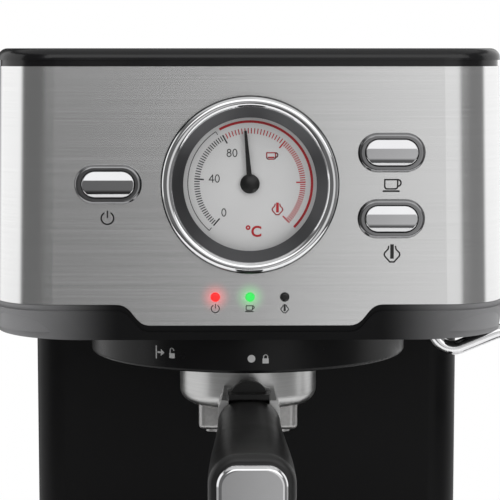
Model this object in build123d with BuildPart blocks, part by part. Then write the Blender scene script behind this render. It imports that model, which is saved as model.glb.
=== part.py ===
"""Home espresso machine: a pump machine with a locked-in portafilter, steam wand and lift-out tank."""
import math
import os

from build123d import *

# Frame: X to the right, Y to the back, Z up, in millimetres
# The origin is on the table, on the machine's middle plane, below the column's front face

# Heights stacked from the table
FOOT_H = 5.0
BASE_H = 53.0
COLUMN_H = 138.6
HEAD_H = 109.9
COVER_BAND_H = 2.5
COVER_CAP_H = 4.7
BASE_TOP = FOOT_H + BASE_H
HEAD_Z = BASE_TOP + COLUMN_H
PANEL_TOP = HEAD_Z + HEAD_H
CAP_Z = PANEL_TOP + COVER_BAND_H
COVER_TOP = CAP_Z + COVER_CAP_H

# Depths measured from the column's front face
HEAD_OVERHANG = 125.0
BASE_OVERHANG = 118.0
COLUMN_DEPTH = 96.0
TANK_DEPTH = 46.0
TANK_GAP = 1.0
BASE_TAIL = 2.0
HEAD_FRONT = -HEAD_OVERHANG
BASE_FRONT = -BASE_OVERHANG
HEAD_BACK = COLUMN_DEPTH
TANK_FRONT = HEAD_BACK + TANK_GAP
TANK_BACK = TANK_FRONT + TANK_DEPTH
BASE_BACK = TANK_BACK + BASE_TAIL

# Widths and plan corners
BASE_W = 204.0
COLUMN_W = 200.0
HEAD_W_LOW = 210.0
HEAD_W_HIGH = 205.5
TANK_W = 180.0
BASE_R = 20.0
COLUMN_R = 14.0
HEAD_R = 25.0
TRIM_LOW_R = 39.0
TANK_R = 14.0

# Walls and clearances
WALL = 2.5
STEEL_T = 0.8
SEAT_GAP = 0.15
SIDE_GAP = 0.3
RUN_GAP = 0.05
SLIDE_GAP = 0.3
SCREW_R = 1.5
SCREW_HEAD_R = 3.0
SCREW_HEAD_H = 1.8
SCREW_GAP = 0.1

# Feet and bottom cover
FOOT_R = 10.0
FOOT_PLUG_R = 4.0
FOOT_INSET_X = 22.0
FOOT_INSET_Y = 22.0
BOTTOM_T = 2.5
BOSS_R = 4.5
BOSS_INSET_X = 12.0
BOSS_INSET_Y = 44.0
SCREW_L = 12.0

# Drip tray bay, tray and grid
TRAY_W = 176.0
BAY_BACK_GAP = 4.0
BAY_FLOOR = 22.0
TRAY_WALL = 2.2
TRAY_LEDGE = 2.0
TRAY_RIM_DROP = 1.0
GRID_T = 1.2
GRID_SLOT_W = 4.0
GRID_SLOT_L = 40.0
GRID_SLOT_PITCH_X = 9.0
GRID_SLOT_PITCH_Y = 48.0
GRID_SLOT_COLUMNS = 17
GRID_SLOT_ROWS = 2

# Lower trim of the head
TRIM_SIDE_H = 14.1
TRIM_MID_H = 5.6
TRIM_STEP_IN = 40.0
TRIM_STEP_OUT = 54.0
TRIM_WALL = 3.2
TRIM_PROUD = 0.9
TRIM_LIP_H = 2.4
TRIM_FLOOR = 3.0
TONGUE_H = 6.0
SERVICE_W = 160.0
SERVICE_MARGIN = 8.0

# Top cover and cup plate
COVER_OVERHANG = 0.4
COVER_BAND_INSET = 0.6
COVER_EDGE_R = 4.0
COVER_SKIN = 2.5
CUP_PLATE_W = 164.0
CUP_PLATE_D = 170.0
CUP_PLATE_R = 12.0
CUP_PLATE_T = 1.0
CUP_PLATE_SINK = 1.9
CUP_RIB_W = 3.0
CUP_RIB_H = 0.8
CUP_RIB_COUNT = 9
CUP_RIB_PITCH = 17.0
CUP_RIB_L = 148.0

# Thermometer
GAUGE_RISE = 62.9
BEZEL_R = 35.5
BEZEL_H = 6.5
BEZEL_RIDGE_R = 31.2
BEZEL_RIDGE_H = 5.2
BEZEL_CROWN_OUT = 0.9
BEZEL_CROWN_DROP = 0.5
BEZEL_LIP_H = 1.5
BEZEL_SKIRT_T = 1.1
BEZEL_SKIRT_L = 2.0
DIAL_VIEW_R = 26.75
LENS_R = 28.5
LENS_T = 1.2
DIAL_R = 28.4
DIAL_T = 0.8
DIAL_DEPTH = 3.0
GAUGE_CASE_R = 32.8
GAUGE_CASE_WALL = 2.8
GAUGE_CASE_L = 20.0
GAUGE_LEDGE_T = 1.0
GAUGE_LEDGE_W = 3.5
GAUGE_BACK_T = 2.0
NEEDLE_L = 21.4
NEEDLE_ROOT_W = 2.3
NEEDLE_TIP_W = 1.0
NEEDLE_T = 0.6
NEEDLE_LIFT = 0.8
NEEDLE_REST_DEG = -4.8
HUB_R = 3.9
HUB_H = 1.9
HUB_DOME_R = 6.5
SPINDLE_R = 0.8
BEARING_R = 4.0
CAPILLARY_R = 1.0

# Push buttons
BUTTON_X = 56.8
POWER_RISE = 62.9
COFFEE_RISE = 75.6
STEAM_RISE = 49.0
SURROUND_W = 27.2
SURROUND_H = 16.0
SURROUND_PROUD = 1.6
SURROUND_EDGE_R = 1.5
BUTTON_W = 21.2
BUTTON_H = 10.7
BUTTON_PROUD = 2.2
BUTTON_CROWN_R = 13.0
BUTTON_EDGE_R = 0.5
BUTTON_L = 8.5
BUTTON_STEM_R = 2.4
BUTTON_STEM_L = 5.0
BUTTON_TRAVEL = 2.5
SLEEVE_WALL = 1.6
SLEEVE_L = 12.0
SWITCH_W = 24.0
SWITCH_H = 13.5
SWITCH_L = 14.0

# Signal lamps
LAMP_X = 14.0
LAMP_RISE = 17.3
LAMP_R = 1.85
LAMP_PROUD = 0.9
LAMP_L = 8.0
LAMP_FLANGE_R = 2.6
LAMP_FLANGE_T = 1.0

# Carrier behind the steel front
FRAME_W = 150.0
FRAME_T = 2.5
FRAME_TOP_GAP = 9.0

# Brew group, all on one vertical axis
GROUP_Y = -45.0
SKIRT_R = 69.5
SKIRT_H = 15.9
SKIRT_EDGE_R = 1.5
RING_R = 44.5
RING_H = 10.0
RING_DROP = 13.1
RING_BORE_R = 39.0
RING_FLANGE_R = 32.0
RING_FLANGE_H = 3.5
EAR_COUNT = 3
EAR_DEG = 34.0
EAR_R = 37.5
EAR_H = 3.4
NOTCH_DEG = 46.0
TWIST_DEG = 45.0
GROUP_FLANGE_R = 53.0
GROUP_FLANGE_H = 4.4
GASKET_IN_R = 25.0
GASKET_R = 31.2
GASKET_H = 6.2
GASKET_GROOVE = 5.0
SCREEN_R = 24.4
SCREEN_T = 0.8
SCREEN_BOSS_DROP = 3.5
SCREEN_HOLE_R = 0.9
SCREEN_RING_COUNT = 3
SCREEN_RING_PITCH = 7.0
SCREEN_HOLE_COUNT = 8
SCREEN_SCREW_R = 2.4
SCREEN_HEAD_R = 4.5
SCREEN_HEAD_H = 1.5
SCREEN_SCREW_L = 8.0

# Boiler
BOILER_W = 92.0
BOILER_D = 84.0
BOILER_R = 14.0
BOILER_BASE_H = 22.0
BOILER_LID_H = 20.0
BOILER_BOLT_R = 2.5
BOILER_BOLT_HEAD_R = 4.2
BOILER_BOLT_HEAD_H = 4.0
BOILER_BOLT_INSET = 9.0
BOILER_WALL = 8.0
CHAMBER_H = 10.0
THERMOSTAT_R = 9.0
THERMOSTAT_H = 9.0
THERMOSTAT_X = 22.0

# Portafilter
BOWL_R = 30.4
BOWL_IN_R = 26.2
BOWL_H = 34.0
BOWL_FLOOR = 5.0
BOWL_EDGE_R = 6.0
BOWL_OUTLET_R = 4.0
RIM_GAP = 0.3
BASKET_R = 25.6
BASKET_RIM_R = 29.4
BASKET_T = 0.5
BASKET_RIM_T = 0.8
BASKET_DEPTH = 23.0
BASKET_HOLE_R = 0.8
BASKET_RING_COUNT = 4
BASKET_RING_PITCH = 5.5
BASKET_HOLE_COUNT = 7
SPOUT_W = 44.0
SPOUT_D = 22.0
SPOUT_H = 11.9
SPOUT_BOSS_R = 8.0
SPOUT_BOSS_L = 6.0
SPOUT_TIP_X = 15.0
SPOUT_TIP_R = 4.0
SPOUT_TIP_BORE_R = 2.6
SPOUT_TIP_L = 2.2
SPOUT_TIP_BORE_L = 6.4
SPOUT_EDGE_R = 2.0
SPOUT_CORNER_R = 3.5
NECK_W = 26.6
NECK_TOP_W = 21.4
NECK_TOP_DROP = 22.8
NECK_SLOPE_H = 7.5
NECK_REACH = 15.6
HANDLE_DROP = 38.0
HANDLE_TILT = 1.5
HANDLE_L = 104.0
HANDLE_SECTIONS = (
    (0.0, 26.6, 24.0, 10.0),
    (0.3, 28.2, 25.0, 10.5),
    (0.75, 32.4, 27.5, 11.5),
    (1.0, 33.0, 28.0, 11.5),
)
HANDLE_EDGE_R = 3.0
TANG_R = 6.0
TANG_L = 40.0
END_CAP_INSET = 3.2
END_CAP_T = 4.0
END_CAP_R = 8.0
END_CAP_STUB_R = 5.0
END_CAP_STUB_L = 10.0

# Thumb clip on the portafilter's neck
CLIP_W = 17.0
CLIP_PIN_R = 1.5
CLIP_PIN_DROP = 26.5
CLIP_PIN_REACH = 9.1
CLIP_KNUCKLE_R = 3.2
CLIP_TAB_R = 8.4
CLIP_TAB_TOP = 8.0
CLIP_TAB_T = 3.0
CLIP_PLATE_L = 8.0
CLIP_PLATE_T = 2.0
CLIP_BACK_ROOM = 2.6

# Steam side
WAND_X = 82.5
WAND_Y = -35.0
WAND_BALL_DROP = 3.6
WAND_BALL_R = 6.0
WAND_R = 3.25
WAND_BORE_R = 2.0
WAND_DIP_X = 4.5
WAND_DIP_Z = 17.5
WAND_RISE_X = 43.0
WAND_RISE_Z = 1.7
WAND_DIP_R = 9.0
WAND_ARCH_R = 10.0
WAND_TIP_DROP = 104.0
SOCKET_R = 11.0
SOCKET_LIP = 2.5
SOCKET_NECK_R = 9.0
SOCKET_NECK_L = 9.0
GRIP_R = 7.0
GRIP_L = 34.0
GRIP_RISE = 30.0
NOZZLE_R = 5.5
NOZZLE_TIP_R = 4.0
NOZZLE_L = 20.0
NOZZLE_SEAT = 14.0
KNOB_Y = 40.0
KNOB_RISE = 65.0
KNOB_R = 17.0
KNOB_L = 15.0
KNOB_GAP = 1.0
KNOB_GRIPS = 12
KNOB_GRIP_R = 2.0
STEM_R = 3.0
STEM_L = 24.0
VALVE_W = 20.0
VALVE_L = 22.0
VALVE_NECK_R = 7.0
PIPE_R = 2.5
PIPE_BEND_R = 5.0
PIPE_RISE = 15.0

# Tank and lid
TANK_WALL = 2.0
TANK_FLOOR = 3.0
TANK_OUTLET_R = 6.0
TANK_RIM_DROP = 10.5
LID_SKIN = 2.5
LID_EDGE_R = 4.0
LID_PIN_R = 2.0
LID_PIN_INSET = 3.2
LID_PIN_RISE = 4.4
LID_BARREL_R = 3.2
LID_BARREL_REACH = 6.5
LUG_X = 60.0
LUG_W = 6.0
DOCK_R = 8.0
DOCK_FLANGE_R = 11.0
DOCK_FLANGE_T = 2.0
DOCK_L = 14.0
DOCK_BORE_R = 3.0

# Pump, hoses, board and cord gland
PUMP_Y = 45.0
PUMP_RISE = 37.0
PUMP_COIL_W = 46.0
PUMP_COIL_S = 42.0
PUMP_END_R = 11.0
PUMP_END_L = 28.0
PUMP_NIPPLE_R = 4.0
PUMP_NIPPLE_L = 6.0
MOUNT_W = 12.0
MOUNT_D = 30.0
MOUNT_X = 14.0
SUCTION_R = 4.0
SUCTION_DROP = 12.0
SUCTION_X = -72.0
PRESSURE_R = 3.0
PRESSURE_X = 72.0
BOARD_X = -84.0
BOARD_T = 1.6
BOARD_L = 90.0
BOARD_H = 62.0
BOARD_FOOT = 6.0
BOARD_Y = 0.0
RELAY_W = 16.0
RELAY_L = 22.0
RELAY_H = 18.0
RELAY_COLUMN_COUNT = 3
RELAY_ROW_COUNT = 2
GLAND_X = 62.0
GLAND_R = 8.0
GLAND_FLANGE_R = 11.5
GLAND_FLANGE_T = 2.0
GLAND_L = 12.0
GLAND_BORE_R = 4.0
GLAND_RISE = 22.0

# Places that several pieces share
TRAY_BACK = -BAY_BACK_GAP
GRID_TOP = BASE_TOP - TRAY_RIM_DROP
GAUGE_Z = HEAD_Z + GAUGE_RISE
RING_Z = HEAD_Z - RING_DROP
RING_TOP = RING_Z + RING_H
FLANGE_TOP = RING_Z + RING_FLANGE_H
FLOOR_TOP = HEAD_Z + TRIM_FLOOR
GROUP_TOP = FLOOR_TOP + GROUP_FLANGE_H
GASKET_Z = RING_TOP + GASKET_GROOVE - GASKET_H
RIM_Z = GASKET_Z - RIM_GAP
BOWL_TOP = RIM_Z - BASKET_RIM_T
BOWL_Z = BOWL_TOP - BOWL_H
BOILER_MID = GROUP_TOP + BOILER_BASE_H
BOILER_TOP = BOILER_MID + BOILER_LID_H
WAND_BALL_Z = HEAD_Z - WAND_BALL_DROP
KNOB_Z = HEAD_Z + KNOB_RISE
HANDLE_Z = BOWL_TOP - HANDLE_DROP
NECK_FRONT = GROUP_Y - BOWL_R - NECK_REACH
PIN_Y = GROUP_Y - BOWL_R - CLIP_PIN_REACH
PIN_Z = BOWL_TOP - CLIP_PIN_DROP
TANK_RIM = COVER_TOP - TANK_RIM_DROP
LID_PIN_Y = TANK_BACK - LID_PIN_INSET
LID_PIN_Z = TANK_RIM + LID_PIN_RISE
PUMP_Z = BASE_TOP + PUMP_RISE
TANK_MID_Y = (TANK_FRONT + TANK_BACK) / 2
FRONT = Plane.XZ.offset(HEAD_OVERHANG)
GROUP_AXIS = Axis((0, GROUP_Y, 0), (0, 0, 1))

os.makedirs("parts", exist_ok=True)


def save(builder, label):
    """Label a finished piece and write it as its own file."""
    builder.part.label = label
    export_step(builder.part, f"parts/{label}.step")


def head_half_width(z):
    """Half the head's width at height z: its sides lean in a little towards the top."""
    share = (z - HEAD_Z) / HEAD_H
    return (HEAD_W_LOW + (HEAD_W_HIGH - HEAD_W_LOW) * share) / 2


def head_plan(z, inset, back=HEAD_BACK, radius=HEAD_R):
    """Draw the head's plan at height z, inset from its skin, with two round front corners."""
    half = head_half_width(z) - inset
    front = HEAD_FRONT + inset
    with BuildSketch(Plane.XY.offset(z)) as plan:
        with Locations((0, (front + back) / 2)):
            Rectangle(2 * half, back - front)
        fillet(plan.vertices().group_by(Axis.Y)[0], radius - inset)
    return plan.sketch


def base_plan(inset):
    """Draw the base's plan with round corners, inset from its skin."""
    with Locations((0, (BASE_FRONT + BASE_BACK) / 2)):
        RectangleRounded(BASE_W - 2 * inset, BASE_BACK - BASE_FRONT - 2 * inset, BASE_R - inset)


def trim_line(raise_by):
    """The front region above the trim's stepped upper edge, raised by a given height."""
    side = HEAD_Z + TRIM_SIDE_H + raise_by
    middle = HEAD_Z + TRIM_MID_H + raise_by
    reach = HEAD_W_LOW
    with BuildSketch(FRONT.offset(HEAD_OVERHANG)) as region:
        with BuildLine():
            Line((-reach, side), (-TRIM_STEP_OUT, side))
            Spline((-TRIM_STEP_OUT, side), (-TRIM_STEP_IN, middle), tangents=((1, 0), (1, 0)))
            Line((-TRIM_STEP_IN, middle), (TRIM_STEP_IN, middle))
            Spline((TRIM_STEP_IN, middle), (TRIM_STEP_OUT, side), tangents=((1, 0), (1, 0)))
            Line((TRIM_STEP_OUT, side), (reach, side))
            Polyline((reach, side), (reach, side + HEAD_H), (-reach, side + HEAD_H), (-reach, side))
        make_face()
    return region.sketch


def front_places():
    """Centres of the three buttons on the front, as X and Z."""
    return [
        (-BUTTON_X, HEAD_Z + POWER_RISE),
        (BUTTON_X, HEAD_Z + COFFEE_RISE),
        (BUTTON_X, HEAD_Z + STEAM_RISE),
    ]


def lamp_places():
    """Centres of the three signal lamps on the front, as X and Z."""
    return [(-LAMP_X, HEAD_Z + LAMP_RISE), (0, HEAD_Z + LAMP_RISE), (LAMP_X, HEAD_Z + LAMP_RISE)]


def foot_places():
    """Centres of the four feet under the base."""
    x = BASE_W / 2 - FOOT_INSET_X
    return [(sx * x, y) for sx in (-1, 1) for y in (BASE_FRONT + FOOT_INSET_Y, BASE_BACK - FOOT_INSET_Y)]


def boss_places():
    """Centres of the four screw bosses in the base."""
    x = BASE_W / 2 - BOSS_INSET_X
    return [(sx * x, y) for sx in (-1, 1) for y in (BASE_FRONT + BOSS_INSET_Y, BASE_BACK - BOSS_INSET_Y)]


# Base shell, open below, with a bay for the drip tray
with BuildPart() as base_shell:
    with BuildSketch(Plane.XY.offset(FOOT_H)):
        base_plan(0)
    extrude(amount=BASE_H)
    with BuildSketch(Plane.XY.offset(FOOT_H)):
        base_plan(WALL)
    extrude(amount=BAY_FLOOR - WALL - FOOT_H, mode=Mode.SUBTRACT)
    with BuildSketch(Plane.XY.offset(FOOT_H)):
        base_plan(WALL)
        with Locations((0, TRAY_BACK + WALL - BASE_W / 2)):
            Rectangle(BASE_W, BASE_W, mode=Mode.SUBTRACT)
    extrude(amount=BASE_H - WALL, mode=Mode.SUBTRACT)
    with BuildSketch(Plane.XY.offset(BAY_FLOOR)):
        with Locations((0, TRAY_BACK - BASE_W / 2)):
            Rectangle(TRAY_W + 2 * SLIDE_GAP, BASE_W)
    extrude(amount=BASE_H, mode=Mode.SUBTRACT)
    with BuildSketch(Plane.XY.offset(FOOT_H + BOTTOM_T)):
        with Locations(*boss_places()):
            Circle(BOSS_R)
    extrude(until=Until.NEXT)
    with BuildSketch(Plane.XY.offset(FOOT_H + BOTTOM_T)):
        with Locations(*boss_places()):
            Circle(SCREW_R + SCREW_GAP)
    extrude(amount=SCREW_L, mode=Mode.SUBTRACT)
    with BuildSketch(Plane.XY.offset(BASE_TOP)):
        with Locations((0, TANK_MID_Y)):
            Circle(DOCK_R + SCREW_GAP)
        with Locations((SUCTION_X, PUMP_Y)):
            Circle(SUCTION_R + SIDE_GAP)
    extrude(amount=-2 * WALL, mode=Mode.SUBTRACT)
    with BuildSketch(Plane.XZ.offset(-BASE_BACK - WALL)):
        with Locations((GLAND_X, FOOT_H + GLAND_RISE)):
            Circle(GLAND_R + SCREW_GAP)
    extrude(amount=3 * WALL, mode=Mode.SUBTRACT)
save(base_shell, "base_shell")

# Bottom cover that closes the base
with BuildPart() as bottom_cover:
    with BuildSketch(Plane.XY.offset(FOOT_H)):
        base_plan(WALL + SIDE_GAP)
        with Locations(*foot_places()):
            Circle(FOOT_PLUG_R + SCREW_GAP, mode=Mode.SUBTRACT)
        with Locations(*boss_places()):
            Circle(SCREW_R + SCREW_GAP, mode=Mode.SUBTRACT)
    extrude(amount=BOTTOM_T)
    with BuildSketch(Plane.XY.offset(FOOT_H)):
        with Locations(*boss_places()):
            Circle(SCREW_HEAD_R + SCREW_GAP)
    extrude(amount=SCREW_HEAD_H, mode=Mode.SUBTRACT)
save(bottom_cover, "bottom_cover")

# Screws of the bottom cover
with BuildPart() as base_screws:
    with BuildSketch(Plane.XY.offset(FOOT_H)):
        with Locations(*boss_places()):
            Circle(SCREW_HEAD_R)
    extrude(amount=SCREW_HEAD_H)
    with BuildSketch(Plane.XY.offset(FOOT_H + SCREW_HEAD_H)):
        with Locations(*boss_places()):
            Circle(SCREW_R)
    extrude(amount=SCREW_L + BOTTOM_T - SCREW_HEAD_H)
save(base_screws, "base_screws")

# Four rubber feet plugged into the bottom cover
with BuildPart() as rubber_feet:
    with BuildSketch():
        with Locations(*foot_places()):
            Circle(FOOT_R)
    extrude(amount=FOOT_H)
    with BuildSketch(Plane.XY.offset(FOOT_H)):
        with Locations(*foot_places()):
            Circle(FOOT_PLUG_R)
    extrude(amount=BOTTOM_T)
save(rubber_feet, "rubber_feet")

# Column shell: front and two sides, open at the back
with BuildPart() as column_shell:
    with BuildSketch(Plane.XY.offset(BASE_TOP)) as column_plan:
        with Locations((0, COLUMN_DEPTH / 2)):
            Rectangle(COLUMN_W, COLUMN_DEPTH)
        fillet(column_plan.vertices().group_by(Axis.Y)[0], COLUMN_R)
    extrude(amount=COLUMN_H)
    with BuildSketch(Plane.XY.offset(BASE_TOP)) as column_hollow:
        with Locations((0, COLUMN_DEPTH / 2 + WALL)):
            Rectangle(COLUMN_W - 2 * WALL, COLUMN_DEPTH)
        fillet(column_hollow.vertices().group_by(Axis.Y)[0], COLUMN_R - WALL)
    extrude(amount=COLUMN_H, mode=Mode.SUBTRACT)
save(column_shell, "column_shell")

# Rear cover behind the column and the head
with BuildPart() as rear_cover:
    with BuildSketch(Plane.XZ.offset(-HEAD_BACK)):
        with BuildLine():
            column_half = COLUMN_W / 2 - WALL - SIDE_GAP
            low_half = head_half_width(FLOOR_TOP) - TRIM_WALL - SIDE_GAP
            high_half = head_half_width(PANEL_TOP) - TRIM_WALL - SIDE_GAP
            Polyline(
                (-column_half, BASE_TOP),
                (column_half, BASE_TOP),
                (column_half, FLOOR_TOP),
                (low_half, FLOOR_TOP),
                (high_half, PANEL_TOP - SIDE_GAP),
                (-high_half, PANEL_TOP - SIDE_GAP),
                (-low_half, FLOOR_TOP),
                (-column_half, FLOOR_TOP),
                close=True,
            )
        make_face()
    extrude(amount=WALL)
save(rear_cover, "rear_cover")

# Black lower trim of the head, with the floor that carries the brew group
with BuildPart() as lower_trim:
    side_top = HEAD_Z + TRIM_SIDE_H
    loft([head_plan(HEAD_Z, -TRIM_PROUD, radius=TRIM_LOW_R), head_plan(side_top, -TRIM_PROUD)])
    extrude(trim_line(-TRIM_LIP_H), amount=-3 * HEAD_OVERHANG, mode=Mode.SUBTRACT)
    loft([head_plan(HEAD_Z, 0, radius=TRIM_LOW_R), head_plan(side_top, 0)])
    extrude(trim_line(0), amount=-3 * HEAD_OVERHANG, mode=Mode.SUBTRACT)
    tongue_top = side_top + TONGUE_H
    loft([head_plan(FLOOR_TOP, STEEL_T + SEAT_GAP), head_plan(tongue_top, STEEL_T + SEAT_GAP)])
    extrude(trim_line(TONGUE_H), amount=-3 * HEAD_OVERHANG, mode=Mode.SUBTRACT)
    inner_back = HEAD_BACK + WALL
    loft(
        [
            head_plan(FLOOR_TOP, TRIM_WALL, back=inner_back),
            head_plan(tongue_top, TRIM_WALL, back=inner_back),
        ],
        mode=Mode.SUBTRACT,
    )
    with BuildSketch(Plane.XY.offset(HEAD_Z)):
        with Locations((0, GROUP_Y)):
            Circle(RING_R + SIDE_GAP)
        with Locations((0, HEAD_BACK / 2)):
            Rectangle(SERVICE_W, HEAD_BACK - 2 * SERVICE_MARGIN)
        with Locations((0, HEAD_BACK)):
            Rectangle(COLUMN_W - 2 * WALL, 2 * (WALL + SIDE_GAP))
        with Locations((WAND_X, WAND_Y)):
            Circle(SOCKET_NECK_R + SCREW_GAP)
    extrude(amount=TRIM_FLOOR, mode=Mode.SUBTRACT)
save(lower_trim, "lower_trim")

# Brushed steel skin around the front and sides of the head
with BuildPart() as front_panel:
    low = HEAD_Z + TRIM_MID_H
    open_back = HEAD_BACK + WALL
    loft([head_plan(low, 0), head_plan(PANEL_TOP, 0)])
    loft(
        [head_plan(low, STEEL_T, back=open_back), head_plan(PANEL_TOP, STEEL_T, back=open_back)],
        mode=Mode.SUBTRACT,
    )
    extrude(trim_line(SEAT_GAP), amount=-3 * HEAD_OVERHANG, mode=Mode.INTERSECT)
    with BuildSketch(FRONT.offset(WALL)):
        with Locations((0, GAUGE_Z)):
            Circle(GAUGE_CASE_R + SIDE_GAP)
        with Locations(*front_places()):
            SlotOverall(
                BUTTON_W + 2 * (SLIDE_GAP + SLEEVE_WALL + SIDE_GAP),
                BUTTON_H + 2 * (SLIDE_GAP + SLEEVE_WALL + SIDE_GAP),
            )
        with Locations(*lamp_places()):
            Circle(LAMP_R + SCREW_GAP)
    extrude(amount=-3 * WALL, mode=Mode.SUBTRACT)
    with BuildSketch(Plane.YZ.offset(HEAD_W_LOW / 2 + WALL)):
        with Locations((KNOB_Y, KNOB_Z)):
            Circle(VALVE_NECK_R + SIDE_GAP)
    extrude(amount=-4 * WALL, mode=Mode.SUBTRACT)
save(front_panel, "front_panel")

# Carrier behind the steel front that holds the switches, lamps and thermometer
with BuildPart() as panel_frame:
    frame_top = PANEL_TOP - FRAME_TOP_GAP
    frame_low = HEAD_Z + TRIM_MID_H + TONGUE_H
    with BuildSketch(FRONT.offset(-STEEL_T)):
        with Locations((0, (frame_low + frame_top) / 2)):
            Rectangle(FRAME_W, frame_top - frame_low)
        with Locations((0, GAUGE_Z)):
            Circle(GAUGE_CASE_R + SIDE_GAP, mode=Mode.SUBTRACT)
        with Locations(*front_places()):
            SlotOverall(
                BUTTON_W + 2 * (SLIDE_GAP + SLEEVE_WALL + SCREW_GAP),
                BUTTON_H + 2 * (SLIDE_GAP + SLEEVE_WALL + SCREW_GAP),
                mode=Mode.SUBTRACT,
            )
        with Locations(*lamp_places()):
            Circle(LAMP_R + SCREW_GAP, mode=Mode.SUBTRACT)
    extrude(amount=-FRAME_T)
    extrude(trim_line(TONGUE_H + SIDE_GAP), amount=-3 * HEAD_OVERHANG, mode=Mode.INTERSECT)
save(panel_frame, "panel_frame")

# Black top cover: a recessed band under a cap with a round edge
with BuildPart() as top_cover:
    loft([head_plan(PANEL_TOP, COVER_BAND_INSET), head_plan(CAP_Z, COVER_BAND_INSET)])
    loft([head_plan(CAP_Z, -COVER_OVERHANG), head_plan(COVER_TOP, -COVER_OVERHANG)])
    cap_edge = top_cover.faces().sort_by(Axis.Z)[-1].edges()
    fillet(cap_edge.sort_by(Axis.Y)[:-1], COVER_EDGE_R)
    tongue_low = PANEL_TOP - TONGUE_H
    tongue_back = HEAD_BACK - WALL - SIDE_GAP
    loft(
        [
            head_plan(tongue_low, STEEL_T + SEAT_GAP, back=tongue_back),
            head_plan(PANEL_TOP, STEEL_T + SEAT_GAP, back=tongue_back),
        ]
    )
    hollow_top = COVER_TOP - COVER_SKIN - CUP_PLATE_SINK
    hollow_back = tongue_back - WALL
    loft(
        [
            head_plan(tongue_low, TRIM_WALL, back=hollow_back),
            head_plan(hollow_top, TRIM_WALL, back=hollow_back),
        ],
        mode=Mode.SUBTRACT,
    )
    with BuildSketch(Plane.XY.offset(COVER_TOP)):
        with Locations((0, (HEAD_FRONT + HEAD_BACK) / 2)):
            RectangleRounded(CUP_PLATE_W + 2 * SIDE_GAP, CUP_PLATE_D + 2 * SIDE_GAP, CUP_PLATE_R + SIDE_GAP)
    extrude(amount=-CUP_PLATE_SINK, mode=Mode.SUBTRACT)
save(top_cover, "top_cover")

# Ribbed steel cup plate let into the top cover
with BuildPart() as cup_plate:
    plate_z = COVER_TOP - CUP_PLATE_SINK
    plate_y = (HEAD_FRONT + HEAD_BACK) / 2
    with BuildSketch(Plane.XY.offset(plate_z)):
        with Locations((0, plate_y)):
            RectangleRounded(CUP_PLATE_W, CUP_PLATE_D, CUP_PLATE_R)
    extrude(amount=CUP_PLATE_T)
    with BuildSketch(Plane.XY.offset(plate_z + CUP_PLATE_T)):
        with Locations((0, plate_y)):
            with GridLocations(CUP_RIB_PITCH, CUP_RIB_PITCH, CUP_RIB_COUNT, 1):
                SlotOverall(CUP_RIB_L, CUP_RIB_W, rotation=90)
    extrude(amount=CUP_RIB_H)
save(cup_plate, "cup_plate")

# Thermometer case, set through the steel front
GAUGE_SECTION = Plane(origin=(0, HEAD_FRONT, GAUGE_Z), x_dir=(1, 0, 0), z_dir=(0, 0, 1))
GAUGE_AXIS = Axis((0, HEAD_FRONT, GAUGE_Z), (0, 1, 0))
CASE_IN_R = GAUGE_CASE_R - GAUGE_CASE_WALL
LEDGE_Y = DIAL_DEPTH + DIAL_T

with BuildPart() as gauge_case:
    with BuildSketch(GAUGE_SECTION):
        with BuildLine():
            Polyline(
                (CASE_IN_R, 0),
                (GAUGE_CASE_R, 0),
                (GAUGE_CASE_R, GAUGE_CASE_L),
                (SPINDLE_R + RUN_GAP, GAUGE_CASE_L),
                (SPINDLE_R + RUN_GAP, GAUGE_CASE_L - GAUGE_BACK_T - BEARING_R),
                (BEARING_R, GAUGE_CASE_L - GAUGE_BACK_T - BEARING_R),
                (BEARING_R, GAUGE_CASE_L - GAUGE_BACK_T),
                (CASE_IN_R, GAUGE_CASE_L - GAUGE_BACK_T),
                (CASE_IN_R, LEDGE_Y + GAUGE_LEDGE_T),
                (CASE_IN_R - GAUGE_LEDGE_W, LEDGE_Y + GAUGE_LEDGE_T),
                (CASE_IN_R - GAUGE_LEDGE_W, LEDGE_Y),
                (CASE_IN_R, LEDGE_Y),
                close=True,
            )
        make_face()
    revolve(axis=GAUGE_AXIS)
save(gauge_case, "gauge_case")

# Chrome bezel: a round outer ridge and a cone falling in to the dial
with BuildPart() as gauge_bezel:
    with BuildSketch(GAUGE_SECTION):
        with BuildLine():
            Line((BEZEL_RIDGE_R, -BEZEL_RIDGE_H), (DIAL_VIEW_R, -BEZEL_LIP_H))
            skirt_r = LENS_R + SIDE_GAP
            Polyline(
                (DIAL_VIEW_R, -BEZEL_LIP_H),
                (DIAL_VIEW_R, -LENS_T),
                (skirt_r, -LENS_T),
                (skirt_r, BEZEL_SKIRT_L),
                (skirt_r + BEZEL_SKIRT_T, BEZEL_SKIRT_L),
                (skirt_r + BEZEL_SKIRT_T, 0),
                (BEZEL_R, 0),
                (BEZEL_R, -BEZEL_RIDGE_H / 2),
            )
            ThreePointArc(
                (BEZEL_R, -BEZEL_RIDGE_H / 2),
                ((BEZEL_R + BEZEL_RIDGE_R) / 2 + BEZEL_CROWN_OUT, -BEZEL_H + BEZEL_CROWN_DROP),
                (BEZEL_RIDGE_R, -BEZEL_RIDGE_H),
            )
        make_face()
    revolve(axis=GAUGE_AXIS)
save(gauge_bezel, "gauge_bezel")

# Clear lens under the bezel's lip
with BuildPart() as gauge_lens:
    with BuildSketch(FRONT.offset(LENS_T)):
        with Locations((0, GAUGE_Z)):
            Circle(LENS_R)
    extrude(amount=-LENS_T)
save(gauge_lens, "gauge_lens")

# White dial on the ledge of the case
with BuildPart() as gauge_dial:
    with BuildSketch(FRONT.offset(-DIAL_DEPTH)):
        with Locations((0, GAUGE_Z)):
            Circle(DIAL_R)
            Circle(SPINDLE_R + RUN_GAP, mode=Mode.SUBTRACT)
    extrude(amount=-DIAL_T)
save(gauge_dial, "gauge_dial")

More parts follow.
